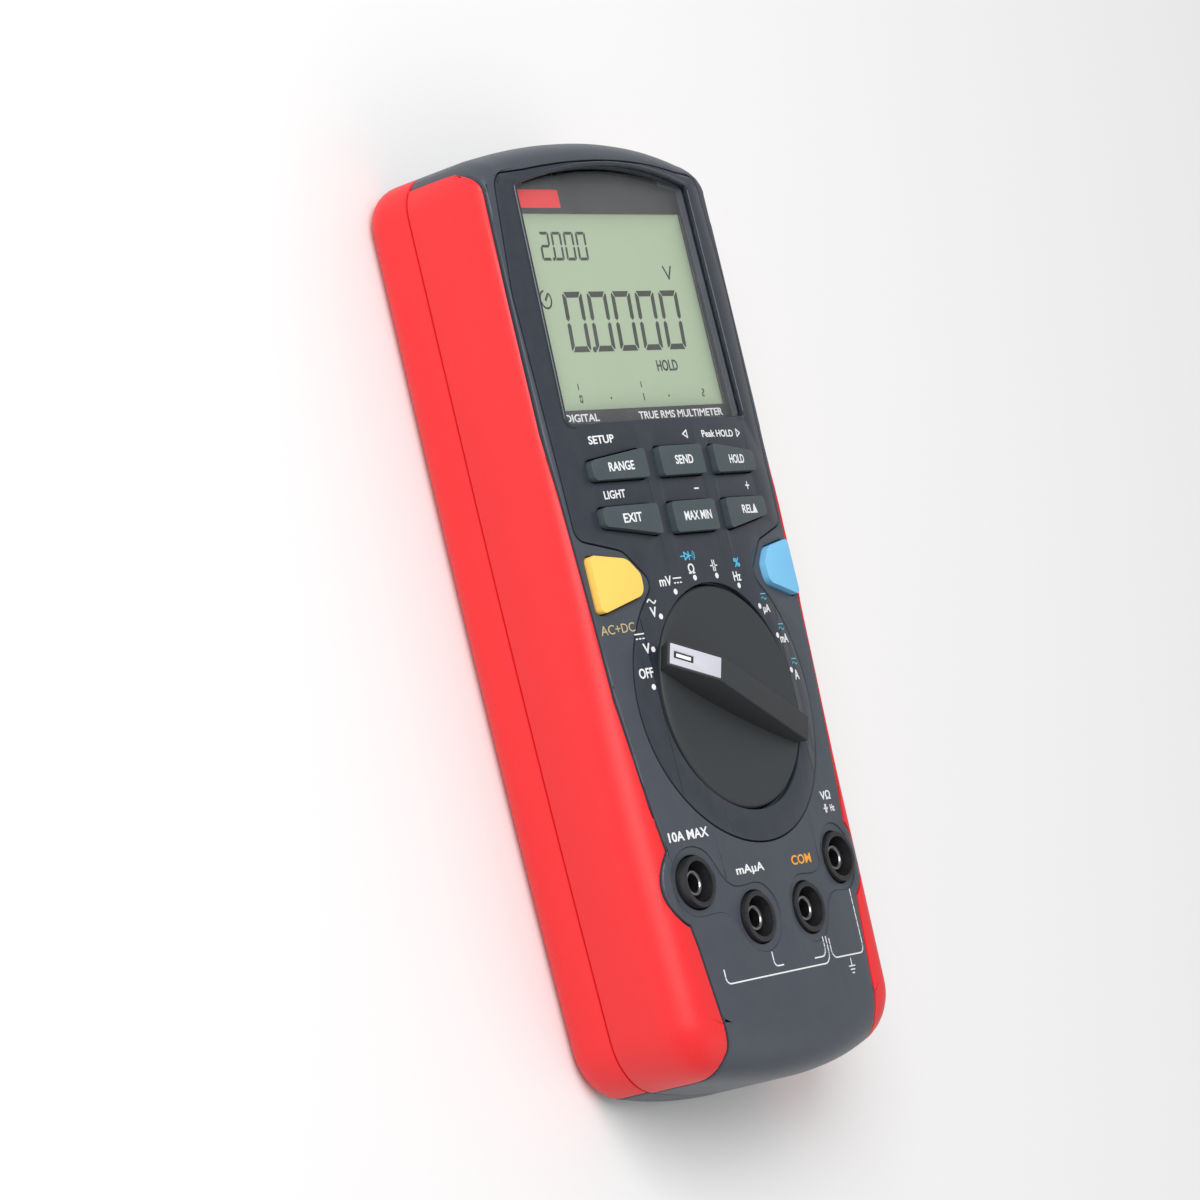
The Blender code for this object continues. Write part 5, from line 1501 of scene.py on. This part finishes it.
def make_dial():
    """The dished dial with its peaked bar, and the pale pointer let into the bar."""
    dish, rim, bottom = DIAL_DISH_Z, DIAL_RIM_Z, DIAL_BOTTOM_Z
    profile = [(0.0, dish), (5 * MM, dish + 0.05 * MM), (9 * MM, dish + 0.2 * MM),
               (13 * MM, dish + 0.46 * MM), (17 * MM, dish + 0.86 * MM),
               (20.2 * MM, dish + 1.34 * MM), (22.2 * MM, rim - 0.06 * MM), (22.8 * MM, rim),
               (23.4 * MM, rim), (23.9 * MM, rim - 0.15 * MM), (DIAL_RADIUS, rim - 0.5 * MM),
               (DIAL_RADIUS, bottom), (SHAFT_RADIUS, bottom), (SHAFT_RADIUS, KNOB_LOW.z),
               (0.0, KNOB_LOW.z)]
    knob = turned("dial_disc", profile, *DIAL_CENTRE.xy, 128)
    bar = bar_profile("bar", [(-22.6, 32.0), BAR_TAIL, BAR_PEAK, BAR_TIP, (22.2, 32.0)],
                      BAR_HALF_WIDTH)
    soften(bar, 0.3 * MM, 3, 8.0)
    join(knob, bar)
    cut(knob, pointer_slab("pointer_seat", 12.75, 25.35, 1.0, -3.0, 2.45 * MM))
    place_on(smooth(knob, 30), "selector",
             moulded("dial_plastic", colours().knob, 0.36, 3200.0, 0.02 * MM, 0.14, 0.12, 0.05),
             "dial_plastic", "dial_knob")
    pointer = pointer_slab("pointer_plate", 12.9, 25.2, 0.9, 0.02, 2.35 * MM)
    cut(pointer, pointer_slab("pointer_mark", 19.4, 24.3, 0.3, -3.0, 0.8 * MM))
    soften(pointer, 0.1 * MM)
    place_on(smooth(pointer), "selector",
             moulded("pointer_plastic", colours().pointer, 0.36, 3200.0, 0.01 * MM, 0.08, 0.08,
                     0.03), "pointer_plastic", "pointer_insert")
    # Painted shade: a black plate on the floor of the pointer's slot darkens it on each side of the
    # white stripe, in place of the shade in the narrow slot.
    place_on(pointer_slab("pointer_slot_painted_shade", 19.45, 24.25, 0.4, 0.26, 0.75 * MM), "selector",
             black_plastic(), "dial_plastic")
    place_on(pointer_slab("pointer_stripe", 20.1, 23.6, 0.3, 0.16, 0.38 * MM), "selector",
             white_ink(), "white_plastic")


# ---------------------------------------------------------------- jacks

def make_jacks():
    """Four black sleeves, each with its metal contact tube."""
    metal = polished_metal("dark_contact_metal", (0.30, 0.30, 0.31), 0.3)
    plastic = black_plastic()
    for k, jack in enumerate(JACKS):
        sleeve_node = JACK_NODES[k]
        contact_node = "jack_contact_%d" % (k + 1)
        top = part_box(sleeve_node)[1].z
        bore, rim, collar = JACK_BORE_RADIUS, JACK_RIM_RADIUS, JACK_COLLAR_RADIUS
        post = JACK_POST_RADIUS + GAP
        floor = JACK_FOOT_Z + 1.5 * MM
        profile = [(bore, top - 0.35 * MM), (bore + 0.1 * MM, top - 0.1 * MM),
                   (bore + 0.35 * MM, top), (rim - 0.4 * MM, top), (rim - 0.12 * MM, top - 0.1 * MM),
                   (rim, top - 0.35 * MM), (rim, JACK_COLLAR_HIGH), (collar, JACK_COLLAR_HIGH),
                   (collar, JACK_COLLAR_LOW), (rim, JACK_COLLAR_LOW), (rim, JACK_FOOT_Z),
                   (post, JACK_FOOT_Z), (post, floor), (bore, floor)]
        sleeve = turned("jack_shroud_%d" % (k + 1), profile, jack.x, jack.y, 64)
        place_on(smooth(sleeve), "body", plastic, "jack_plastic", sleeve_node)
        low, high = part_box(contact_node)
        mouth = high.z
        pin, outer = JACK_PIN_RADIUS, JACK_POST_RADIUS
        tube = [(0.0, JACK_FOOT_Z), (pin, JACK_FOOT_Z), (pin, mouth - 0.25 * MM),
                (pin + 0.2 * MM, mouth), (outer - 0.2 * MM, mouth), (outer, mouth - 0.25 * MM),
                (outer, low.z), (0.0, low.z)]
        contact = turned("jack_tube_%d" % (k + 1), tube, jack.x, jack.y, 48)
        place_on(smooth(contact), "body", metal, "brass_contact", contact_node)


# ---------------------------------------------------------------- back

def make_back():
    """The battery door, the tilt stand and the screws."""
    door = prism("bay_door", rounded([
        (DOOR_LOW.x / MM, DOOR_LOW.y / MM, 2), (DOOR_HIGH.x / MM, DOOR_LOW.y / MM, 2),
        (DOOR_HIGH.x / MM, DOOR_HIGH.y / MM, 2), (DOOR_LOW.x / MM, DOOR_HIGH.y / MM, 2)]),
        DOOR_LOW.z, DOOR_HIGH.z)
    edit(door)
    select_faces(door, lambda centre, normal: normal.z < -0.9)
    bpy.ops.mesh.inset(thickness=1.6 * MM, depth=0.0)
    bpy.ops.mesh.inset(thickness=0.4 * MM, depth=-0.4 * MM)
    close(door)
    cut(door, add_drum("door_hole", 0.0, DOOR_SCREW_Y, 1.6 * MM, -1 * MM, 5 * MM, 32),
        add_drum("door_sink", 0.0, DOOR_SCREW_Y, 2.9 * MM, -1 * MM, 1.3 * MM, 40))
    rows = []
    for k in range(5):
        y = DOOR_HIGH.y - (8.0 + 2.4 * k) * MM
        rows.append(add_block("ridge", (-7.0 * MM, y, 0.05 * MM), (7.0 * MM, y + 1.1 * MM, 0.6 * MM)))
    ridges = merge("ridges", rows)
    soften(ridges, 0.15 * MM)
    join(door, ridges)
    soften(clean(door), 0.2 * MM)
    place_on(smooth(rest_on_floor(door)), "body", case_plastic(), "grey_case", "battery_door")

    low_x, high_x = STAND_LOW.x / MM, STAND_HIGH.x / MM
    plate = 24.0
    low, high = STAND_LOW.z, STAND_HIGH.z
    stand = prism("stand_plate", rounded([(-plate, STAND_LOW.y / MM, 2), (plate, STAND_LOW.y / MM, 2),
                                          (plate, HINGE_Y / MM, 2), (-plate, HINGE_Y / MM, 2)]),
                  0.4 * MM, 3.2 * MM)
    edit(stand)
    select_faces(stand, lambda centre, normal: normal.z < -0.9)
    bpy.ops.mesh.inset(thickness=5.0 * MM, depth=0.0)
    bpy.ops.mesh.inset(thickness=0.8 * MM, depth=-0.7 * MM)
    close(stand)
    rows = []
    for k in range(4):
        y = STAND_LOW.y + (1.2 + 0.9 * k) * MM
        rows.append(add_block("tread", (-9.0 * MM, y, 0.15 * MM), (9.0 * MM, y + 0.4 * MM, 0.9 * MM)))
    treads = merge("treads", rows)
    cut(stand, treads)
    for radius, length in ((1.3 * MM, 44.0 * MM), (0.95 * MM, (high_x - low_x) * MM)):
        deselect_all()
        bpy.ops.mesh.primitive_cylinder_add(vertices=32, radius=radius, depth=length,
                                            location=(0.0, HINGE_Y, HINGE_Z),
                                            rotation=(0.0, math.pi / 2, 0.0))
        join(stand, set_place(bpy.context.object))
    soften(clean(stand), 0.2 * MM)
    place_on(smooth(stand), "stand", case_plastic(), "grey_case", "tilt_stand")

    steel = polished_metal("screw_steel", (0.42, 0.42, 0.44), 0.32)
    for k, node_name in enumerate(SCREW_NODES + ("battery_door_screw",)):
        make_screw(node_name, steel)


def make_screw(node_name, steel):
    """A pan head screw from below, with a cross recess in its head."""
    low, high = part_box(node_name)
    x, y = (low.x + high.x) / 2, (low.y + high.y) / 2
    head = (high.x - low.x) / 2
    is_door = node_name == "battery_door_screw"
    shank = 1.1 * MM if is_door else SCREW_SHANK_RADIUS
    head_top = 1.0 * MM if is_door else 2.7 * MM
    profile = [(0.0, high.z), (shank * 0.4, high.z), (shank, high.z - 1.0 * MM)]
    turns = 4 if is_door else 16
    pitch = (high.z - 1.0 * MM - head_top - 0.3 * MM) / turns
    for k in range(turns):
        top = high.z - 1.0 * MM - pitch * k
        profile += [(shank * 0.78, top - pitch * 0.5), (shank, top - pitch)]
    profile += [(shank, head_top), (head, head_top), (head, low.z + 0.45 * (head_top - low.z)),
                (head * 0.82, low.z + 0.12 * (head_top - low.z)), (head * 0.5, low.z), (0.0, low.z)]
    screw = turned(node_name + "_turned", profile, x, y, 32)
    arm = head * 0.62
    narrow = head * 0.13
    for half_x, half_y in ((arm, narrow), (narrow, arm)):
        cut(screw, add_block("cross", (x - half_x, y - half_y, low.z - 1 * MM),
                             (x + half_x, y + half_y, low.z + min(0.9 * MM, (head_top - low.z)))))
    place_on(smooth(screw), "body", steel, "steel", node_name)


def make_link_window():
    """The dark window of the data link in the top end."""
    pane = add_block("data_window", WINDOW_LOW, WINDOW_HIGH)
    edit(pane)
    select_faces(pane, lambda centre, normal: normal.y > 0.9)
    bpy.ops.mesh.inset(thickness=0.5 * MM, depth=-0.15 * MM)
    close(pane)
    soften(pane, 0.15 * MM)
    place_on(smooth(pane), "body", tinted_window(), "link_window_plastic", "link_window")


# ---------------------------------------------------------------- printing

def lifted(piece, thickness):
    """Bend a flat piece onto the crown, its lower side sunk a little."""
    edit(piece)
    bpy.ops.mesh.select_all(action="SELECT")
    bpy.ops.mesh.quads_convert_to_tris()
    close(piece)
    for vertex in piece.data.vertices:
        above = vertex.co.z > thickness / 2
        vertex.co.z = crown(vertex.co.x) + (sizes().ink if above else -0.02 * MM)
    return piece


def letters(words, left, right, middle, height, base=None, bold=0.02):
    """Raised lettering between two places along X, in millimetres, on the crown or a flat."""
    deselect_all()
    bpy.ops.object.text_add()
    text = bpy.context.object
    text.data.body = words
    text.data.offset = bold
    text.data.extrude = 0.01
    text.data.resolution_u = 3
    bpy.ops.object.convert(target="MESH")
    piece = bpy.context.object
    piece.name = "lettering"
    corners = [vertex.co.copy() for vertex in piece.data.vertices]
    low = Vector(map(min, zip(*corners)))
    high = Vector(map(max, zip(*corners)))
    for vertex in piece.data.vertices:
        share = [(vertex.co[k] - low[k]) / (high[k] - low[k]) for k in range(3)]
        x = (left + (right - left) * share[0]) * MM
        y = (middle + height * (share[1] - 0.5)) * MM
        if base is None:
            z = crown(x) + (sizes().ink if share[2] > 0.5 else -0.02 * MM)
        else:
            z = base + 0.03 * MM * share[2]
        vertex.co = (x, y, z)
    return piece


def drawn(shapes):
    """Outlines in metres, printed on the crown."""
    return lifted(flat_piece("drawn", shapes, 0.0, 0.05 * MM), 0.05 * MM)


def both_currents(x, y, size=1.0):
    """The direct and alternating current signs, one over the other."""
    wave = [(x - size + 2 * size * k / 8, y - 0.55 * size + 0.25 * size * math.sin(math.pi * k / 4))
            for k in range(9)]
    return (stroke([(x - size, y + 0.45 * size), (x + size, y + 0.45 * size)], 0.22)
            + stroke(wave, 0.22))


def direct_current(x, y, size=1.3):
    """The direct current sign: a line over three dashes."""
    shapes = stroke([(x - size, y + 0.5), (x + size, y + 0.5)], 0.28)
    for k in (-1, 0, 1):
        middle = x + k * size * 0.78
        shapes += stroke([(middle - size * 0.14, y - 0.5), (middle + size * 0.14, y - 0.5)], 0.28)
    return shapes


def capacitor(x, y, size=1.0):
    """The capacitor sign."""
    return (stroke([(x - size * 1.1, y), (x - size * 0.3, y)], 0.26)
            + stroke([(x + size * 0.3, y), (x + size * 1.1, y)], 0.26)
            + stroke([(x - size * 0.3, y - size), (x - size * 0.3, y + size)], 0.3)
            + stroke([(x + size * 0.3, y - size), (x + size * 0.3, y + size)], 0.3))


def white_printing():
    """All white lettering and lines of the face."""
    pieces = [
        letters("OFF", -29.4, -25.1, -14.4, 2.2),
        letters("V", -26.4, -24.2, -9.3, 2.2), letters("V", -21.6, -19.6, -1.9, 2.2),
        letters("mV", -16.5, -12.4, 4.3, 2.1), letters("Ω", -5.8, -3.6, 6.4, 2.2),
        letters("Hz", 10.5, 13.5, 3.9, 2.1), letters("µA", 19.8, 22.8, -3.8, 2.2),
        letters("mA", 24.3, 27.9, -10.4, 2.0), letters("A", 26.9, 28.9, -18.6, 2.2),
        letters("10A MAX", -32.2, -20.0, -49.0, 2.1), letters("mAµA", -14.0, -4.3, -58.4, 2.3),
        letters("VΩ", 25.2, 30.0, -45.4, 2.0), letters("Hz", 28.6, 30.6, -48.3, 1.5),
        letters("SETUP", -28.0, -20.1, 35.7, 1.8), letters("LIGHT", -27.2, -20.6, 23.8, 1.8),
        letters("Peak HOLD", 11.6, 25.2, 35.5, 1.6),
    ]
    shapes = []
    for k in range(10):
        angle = math.radians(171.0 - 18.0 * k)
        x = (DIAL_CENTRE.x + DOT_RADIUS * math.cos(angle)) / MM
        y = (DIAL_CENTRE.y + DOT_RADIUS * math.sin(angle)) / MM
        shapes.append(disc(x, y, 0.62))
    shapes += direct_current(-26.6, -6.6) + direct_current(-10.4, 4.2)
    wave = [(-21.8 + 2.6 * k / 10, 0.4 + 0.42 * math.sin(2 * math.pi * k / 10)) for k in range(11)]
    shapes += stroke(wave, 0.34)
    shapes += capacitor(3.8, 6.6, 1.1) + capacitor(26.4, -48.3, 0.8)
    shapes += stroke([(4.0, 35.6), (5.6, 36.4), (5.6, 34.8), (4.0, 35.6)], 0.3)
    shapes += stroke([(28.4, 35.6), (26.9, 36.4), (26.9, 34.8), (28.4, 35.6)], 0.3)
    shapes += stroke([(3.6, 23.6), (5.0, 23.6)], 0.34)
    shapes += stroke([(25.4, 23.8), (26.8, 23.8)], 0.34) + stroke([(26.1, 23.1), (26.1, 24.5)], 0.34)
    line = 0.3
    shapes += stroke([(-25.2, -78.0), (-25.2, -79.6)] + arc(-23.8, -79.6, 1.4, 180, 270, 6)
                     + [(10.2, -81.0)] + arc(10.2, -78.6, 2.4, 270, 360, 8) + [(12.6, -75.4)], line)
    shapes += stroke([(-8.6, -76.4), (-8.6, -78.2)] + arc(-7.4, -78.2, 1.2, 180, 270, 6)
                     + [(-5.6, -79.4)], line)
    shapes += stroke([(6.6, -79.4), (9.6, -79.4)] + arc(9.6, -77.6, 1.8, 270, 360, 8)
                     + [(11.4, -75.4)], line)
    shapes += stroke([(13.8, -76.0)] + arc(15.6, -78.4, 1.8, 180, 270, 8) + [(26.4, -80.2)]
                     + arc(26.4, -78.4, 1.8, 270, 360, 8) + [(28.3, -66.4)], line)
    shapes += stroke([(21.1, -81.0), (21.1, -82.6)], line)
    for k, half in enumerate((1.3, 0.85, 0.4)):
        shapes += stroke([(21.1 - half, -82.6 - 0.75 * k), (21.1 + half, -82.6 - 0.75 * k)], 0.26)
    pieces.append(drawn(shapes))
    printing = merge("white_printing", pieces)
    place_on(printing, "body", white_ink(), "grey_case")


def coloured_printing():
    """The cyan, orange and pale yellow marks."""
    cyan = [drawn(both_currents(21.2, -0.8) + both_currents(25.9, -7.7) + both_currents(28.3, -15.5)
                  + stroke([(-7.4, 9.2), (-6.0, 9.2)], 0.24)
                  + stroke([(-6.0, 10.0), (-6.0, 8.4), (-4.6, 9.2), (-6.0, 10.0)], 0.3)
                  + stroke([(-4.5, 10.0), (-4.5, 8.4)], 0.3) + stroke([(-4.5, 9.2), (-3.6, 9.2)], 0.24)
                  + stroke(arc(-3.4, 9.2, 0.5, -60, 60, 6), 0.22)
                  + stroke(arc(-3.4, 9.2, 1.0, -60, 60, 6), 0.22)),
            letters("%", 12.0, 14.4, 6.9, 2.0)]
    place_on(merge("cyan_printing", cyan), "body",
             moulded("cyan_ink", (0.09, 0.52, 0.78), 0.5, 4200.0, 0.01 * MM, 0.1, 0.1, 0.0),
             "grey_case")
    place_on(letters("COM", 6.4, 14.4, -58.2, 2.1), "body",
             moulded("orange_ink", (0.85, 0.36, 0.04), 0.5, 4200.0, 0.01 * MM, 0.1, 0.1, 0.0),
             "grey_case").name = "orange_printing"
    place_on(letters("AC+DC", -37.4, -27.4, -4.4, 2.0, bold=0.0), "body",
             moulded("pale_yellow_ink", (0.52, 0.42, 0.22), 0.5, 4200.0, 0.01 * MM, 0.1, 0.1,
                     0.0), "grey_case").name = "pale_yellow_printing"


def key_printing():
    """White lettering on the grey keys, which moves with them."""
    words = {"range_key": ("RANGE", -25.4, -17.4), "send_key": ("SEND", -3.0, 3.6),
             "hold_key": ("HOLD", 18.4, 24.9), "exit_key": ("EXIT", -24.6, -18.8),
             "max_min_key": ("MAX MIN", -4.4, 5.6), "relative_key": ("RELΔ", 18.8, 25.4)}
    for name, (label, left, right) in words.items():
        low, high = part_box(name)
        outline = KEYS[name]
        middle = sum(corner[1] for corner in outline) / len(outline)
        piece = letters(label, left, right, middle, 2.0)
        for vertex in piece.data.vertices:
            vertex.co.z += KEY_PROUD
        piece.name = name + "_lettering"
        place_on(piece, name, white_ink(), "key_rubber")


def lens_printing():
    """Generic white lettering along the foot of the lens mask."""
    base = LENS_LOW.z - 0.05 * MM
    pieces = [letters("DIGITAL", -29.8, -17.6, 41.3, 1.7, base),
              letters("TRUE RMS MULTIMETER", -3.0, 28.6, 41.3, 1.7, base)]
    place_on(merge("lens_printing", pieces), "body", white_ink(), "lens_plastic")


# ---------------------------------------------------------------- the inner nodes

def dress_inside():
    """Give every CAD node that stays in view its own finish."""
    laminate = board_laminate()
    brass = polished_metal("clip_brass", (0.70, 0.50, 0.22), 0.3)
    steel = polished_metal("spring_steel", (0.5, 0.5, 0.52), 0.25)
    soft = moulded("soft_grey_rubber", (0.2, 0.2, 0.21), 0.65, 1500.0, 0.03 * MM, 0.15, 0.1, 0.1)
    white = moulded("white_plastic", (0.78, 0.78, 0.75), 0.4, 2000.0, 0.01 * MM, 0.06, 0.1, 0.03)
    black = black_plastic()
    finishes = {
        "main_board": laminate, "display_board": laminate,
        "board_header": black, "measuring_chip": black, "buzzer": black,
        "battery_terminal_block": black,
        "keypad_membrane": soft, "lower_zebra_strip": soft, "upper_zebra_strip": soft,
        "lcd_frame": white, "backlight_panel": white, "selector_rotor": white,
        "selector_wiper": brass, "detent_ball": steel, "detent_spring": steel,
        "high_current_upper_clip": brass, "high_current_lower_clip": brass,
        "low_current_upper_clip": brass, "low_current_lower_clip": brass,
        "current_shunt": polished_metal("shunt_copper", (0.72, 0.35, 0.2), 0.3),
        "battery_9v": banded("battery_can", "battery_9v", "Y",
                             ((0.0, (0.55, 0.42, 0.16)), (0.3, (0.02, 0.02, 0.022)),
                              (0.95, (0.5, 0.5, 0.5))), 0.35, 0.4),
    }
    for name in ("high_current_fuse", "low_current_fuse"):
        finishes[name] = banded(name + "_ceramic", name, "Y",
                                ((0.0, (0.6, 0.6, 0.6)), (0.22, (0.8, 0.78, 0.72)),
                                 (0.78, (0.6, 0.6, 0.6))), 0.35)
    for name, material in finishes.items():
        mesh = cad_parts[name].data
        mesh.materials.clear()
        mesh.materials.append(material)


# ---------------------------------------------------------------- stage

def aim_at(thing, place, target):
    """Put a light at a place and turn it towards a target."""
    thing.location = place
    thing.rotation_euler = (Vector(target) - Vector(place)).to_track_quat("-Z", "Y").to_euler()


def add_area(name, place, size, power, tint=(1.0, 1.0, 1.0)):
    """A soft square light turned towards the meter."""
    lamp = bpy.data.lights.new(name, "AREA")
    lamp.shape = "SQUARE"
    lamp.size = size
    lamp.energy = power
    lamp.color = tint
    lit = bpy.data.objects.new(name, lamp)
    bpy.context.scene.collection.objects.link(lit)
    aim_at(lit, place, (0.0, 0.0, 0.02))


def make_camera():
    """The camera, placed by its turn, height, lean and distance from its aim."""
    stage = bpy.context.scene.meter_stage
    flat = math.cos(stage.elevation)
    outward = Vector((flat * math.cos(stage.azimuth), flat * math.sin(stage.azimuth),
                      math.sin(stage.elevation)))
    view = -outward
    length = Vector((0.0, 1.0, 0.0))
    up = (length - view * length.dot(view)).normalized()
    up = Matrix.Rotation(stage.lean, 3, view) @ up
    right = view.cross(up)
    camera = bpy.data.objects.new("camera", bpy.data.cameras.new("camera"))
    camera.data.lens = stage.lens
    camera.data.sensor_width = 36.0
    camera.data.clip_start = 0.01
    camera.data.clip_end = 20.0
    turn = Matrix((right, up, outward)).transposed().to_4x4()
    camera.matrix_world = Matrix.Translation(Vector(stage.aim) + outward * stage.distance) @ turn
    bpy.context.scene.collection.objects.link(camera)
    bpy.context.scene.camera = camera


def make_stage():
    """Camera, floor, soft lights and an even room light."""
    stage = bpy.context.scene.meter_stage
    make_camera()
    deselect_all()
    bpy.ops.mesh.primitive_plane_add(size=6.0, location=(0.0, 0.0, CAD_BOX[0].z))
    floor = set_place(bpy.context.object)
    floor.name = "floor"
    floor.data.materials.append(floor_paint())
    add_area("key_light", (-0.75, 0.45, 0.95), 0.9, stage.key_power)
    add_area("fill_light", (0.5, -0.7, 0.9), 1.0, stage.fill_power)
    world = bpy.data.worlds.new("room")
    world.use_nodes = True
    background = world.node_tree.nodes["Background"]
    background.inputs["Color"].default_value = (1.0, 1.0, 1.0, 1.0)
    background.inputs["Strength"].default_value = stage.sky
    bpy.context.scene.world = world
    bpy.context.scene.view_settings.view_transform = "Standard"


# ---------------------------------------------------------------- operators

class METER_OT_shells(bpy.types.Operator):
    """Build the front and rear shells"""
    bl_idname = "meter.shells"
    bl_label = "Shells"

    def execute(self, context):
        make_front_shell()
        make_rear_shell()
        return {"FINISHED"}


class METER_OT_grips(bpy.types.Operator):
    """Build the four rubber grips"""
    bl_idname = "meter.grips"
    bl_label = "Grips"

    def execute(self, context):
        make_front_grips()
        make_rear_grips()
        return {"FINISHED"}


class METER_OT_panel(bpy.types.Operator):
    """Build the centre panel and the display's surround"""
    bl_idname = "meter.panel"
    bl_label = "Centre Panel"

    def execute(self, context):
        make_centre_panel()
        make_bezel()
        return {"FINISHED"}


class METER_OT_display(bpy.types.Operator):
    """Build the display, its segments, mask and lens"""
    bl_idname = "meter.display"
    bl_label = "Display"

    def execute(self, context):
        make_display()
        return {"FINISHED"}


class METER_OT_keys(bpy.types.Operator):
    """Build the eight keys"""
    bl_idname = "meter.keys"
    bl_label = "Keys"

    def execute(self, context):
        make_keys()
        return {"FINISHED"}


class METER_OT_dial(bpy.types.Operator):
    """Build the dial and its pointer"""
    bl_idname = "meter.dial"
    bl_label = "Dial"

    def execute(self, context):
        make_dial()
        return {"FINISHED"}


class METER_OT_jacks(bpy.types.Operator):
    """Build the four input jacks"""
    bl_idname = "meter.jacks"
    bl_label = "Jacks"

    def execute(self, context):
        make_jacks()
        return {"FINISHED"}


class METER_OT_back(bpy.types.Operator):
    """Build the battery door, stand, screws and data window"""
    bl_idname = "meter.back"
    bl_label = "Back"

    def execute(self, context):
        make_back()
        make_link_window()
        return {"FINISHED"}


class METER_OT_printing(bpy.types.Operator):
    """Print the generic lettering and signs"""
    bl_idname = "meter.printing"
    bl_label = "Printing"

    def execute(self, context):
        white_printing()
        coloured_printing()
        key_printing()
        lens_printing()
        return {"FINISHED"}


class METER_OT_inside(bpy.types.Operator):
    """Give the inner pieces their finishes"""
    bl_idname = "meter.inside"
    bl_label = "Inside"

    def execute(self, context):
        dress_inside()
        return {"FINISHED"}


class METER_OT_stage(bpy.types.Operator):
    """Set up the camera, floor and lights"""
    bl_idname = "meter.stage"
    bl_label = "Stage"

    def execute(self, context):
        make_stage()
        return {"FINISHED"}


OPERATORS = (METER_OT_stage, METER_OT_shells, METER_OT_grips, METER_OT_panel, METER_OT_display,
             METER_OT_keys, METER_OT_dial, METER_OT_jacks, METER_OT_back, METER_OT_printing,
             METER_OT_inside)


class METER_PT_panel(bpy.types.Panel):
    """The meter's settings and steps"""
    bl_label = "Multimeter"
    bl_idname = "METER_PT_panel"
    bl_space_type = "VIEW_3D"
    bl_region_type = "UI"
    bl_category = "Multimeter"

    def draw(self, context):
        column = self.layout.column()
        for group in (context.scene.meter_sizes, context.scene.meter_colours,
                      context.scene.meter_stage):
            for name in group.__annotations__:
                column.prop(group, name)
        for operator in OPERATORS:
            column.operator(operator.bl_idname)


CLASSES = (MeterColours, MeterSizes, MeterStage) + OPERATORS + (METER_PT_panel,)


def register():
    """Register the classes and hang the settings on the scene."""
    for kind in CLASSES:
        bpy.utils.register_class(kind)
    bpy.types.Scene.meter_colours = PointerProperty(type=MeterColours)
    bpy.types.Scene.meter_sizes = PointerProperty(type=MeterSizes)
    bpy.types.Scene.meter_stage = PointerProperty(type=MeterStage)


def unregister():
    """Take the settings and classes away again."""
    del bpy.types.Scene.meter_stage
    del bpy.types.Scene.meter_sizes
    del bpy.types.Scene.meter_colours
    for kind in reversed(CLASSES):
        bpy.utils.unregister_class(kind)


def main():
    """Build the whole meter."""
    register()
    for operator in OPERATORS:
        family, action = operator.bl_idname.split(".")
        getattr(getattr(bpy.ops, family), action)()


if __name__ == "__main__":
    main()
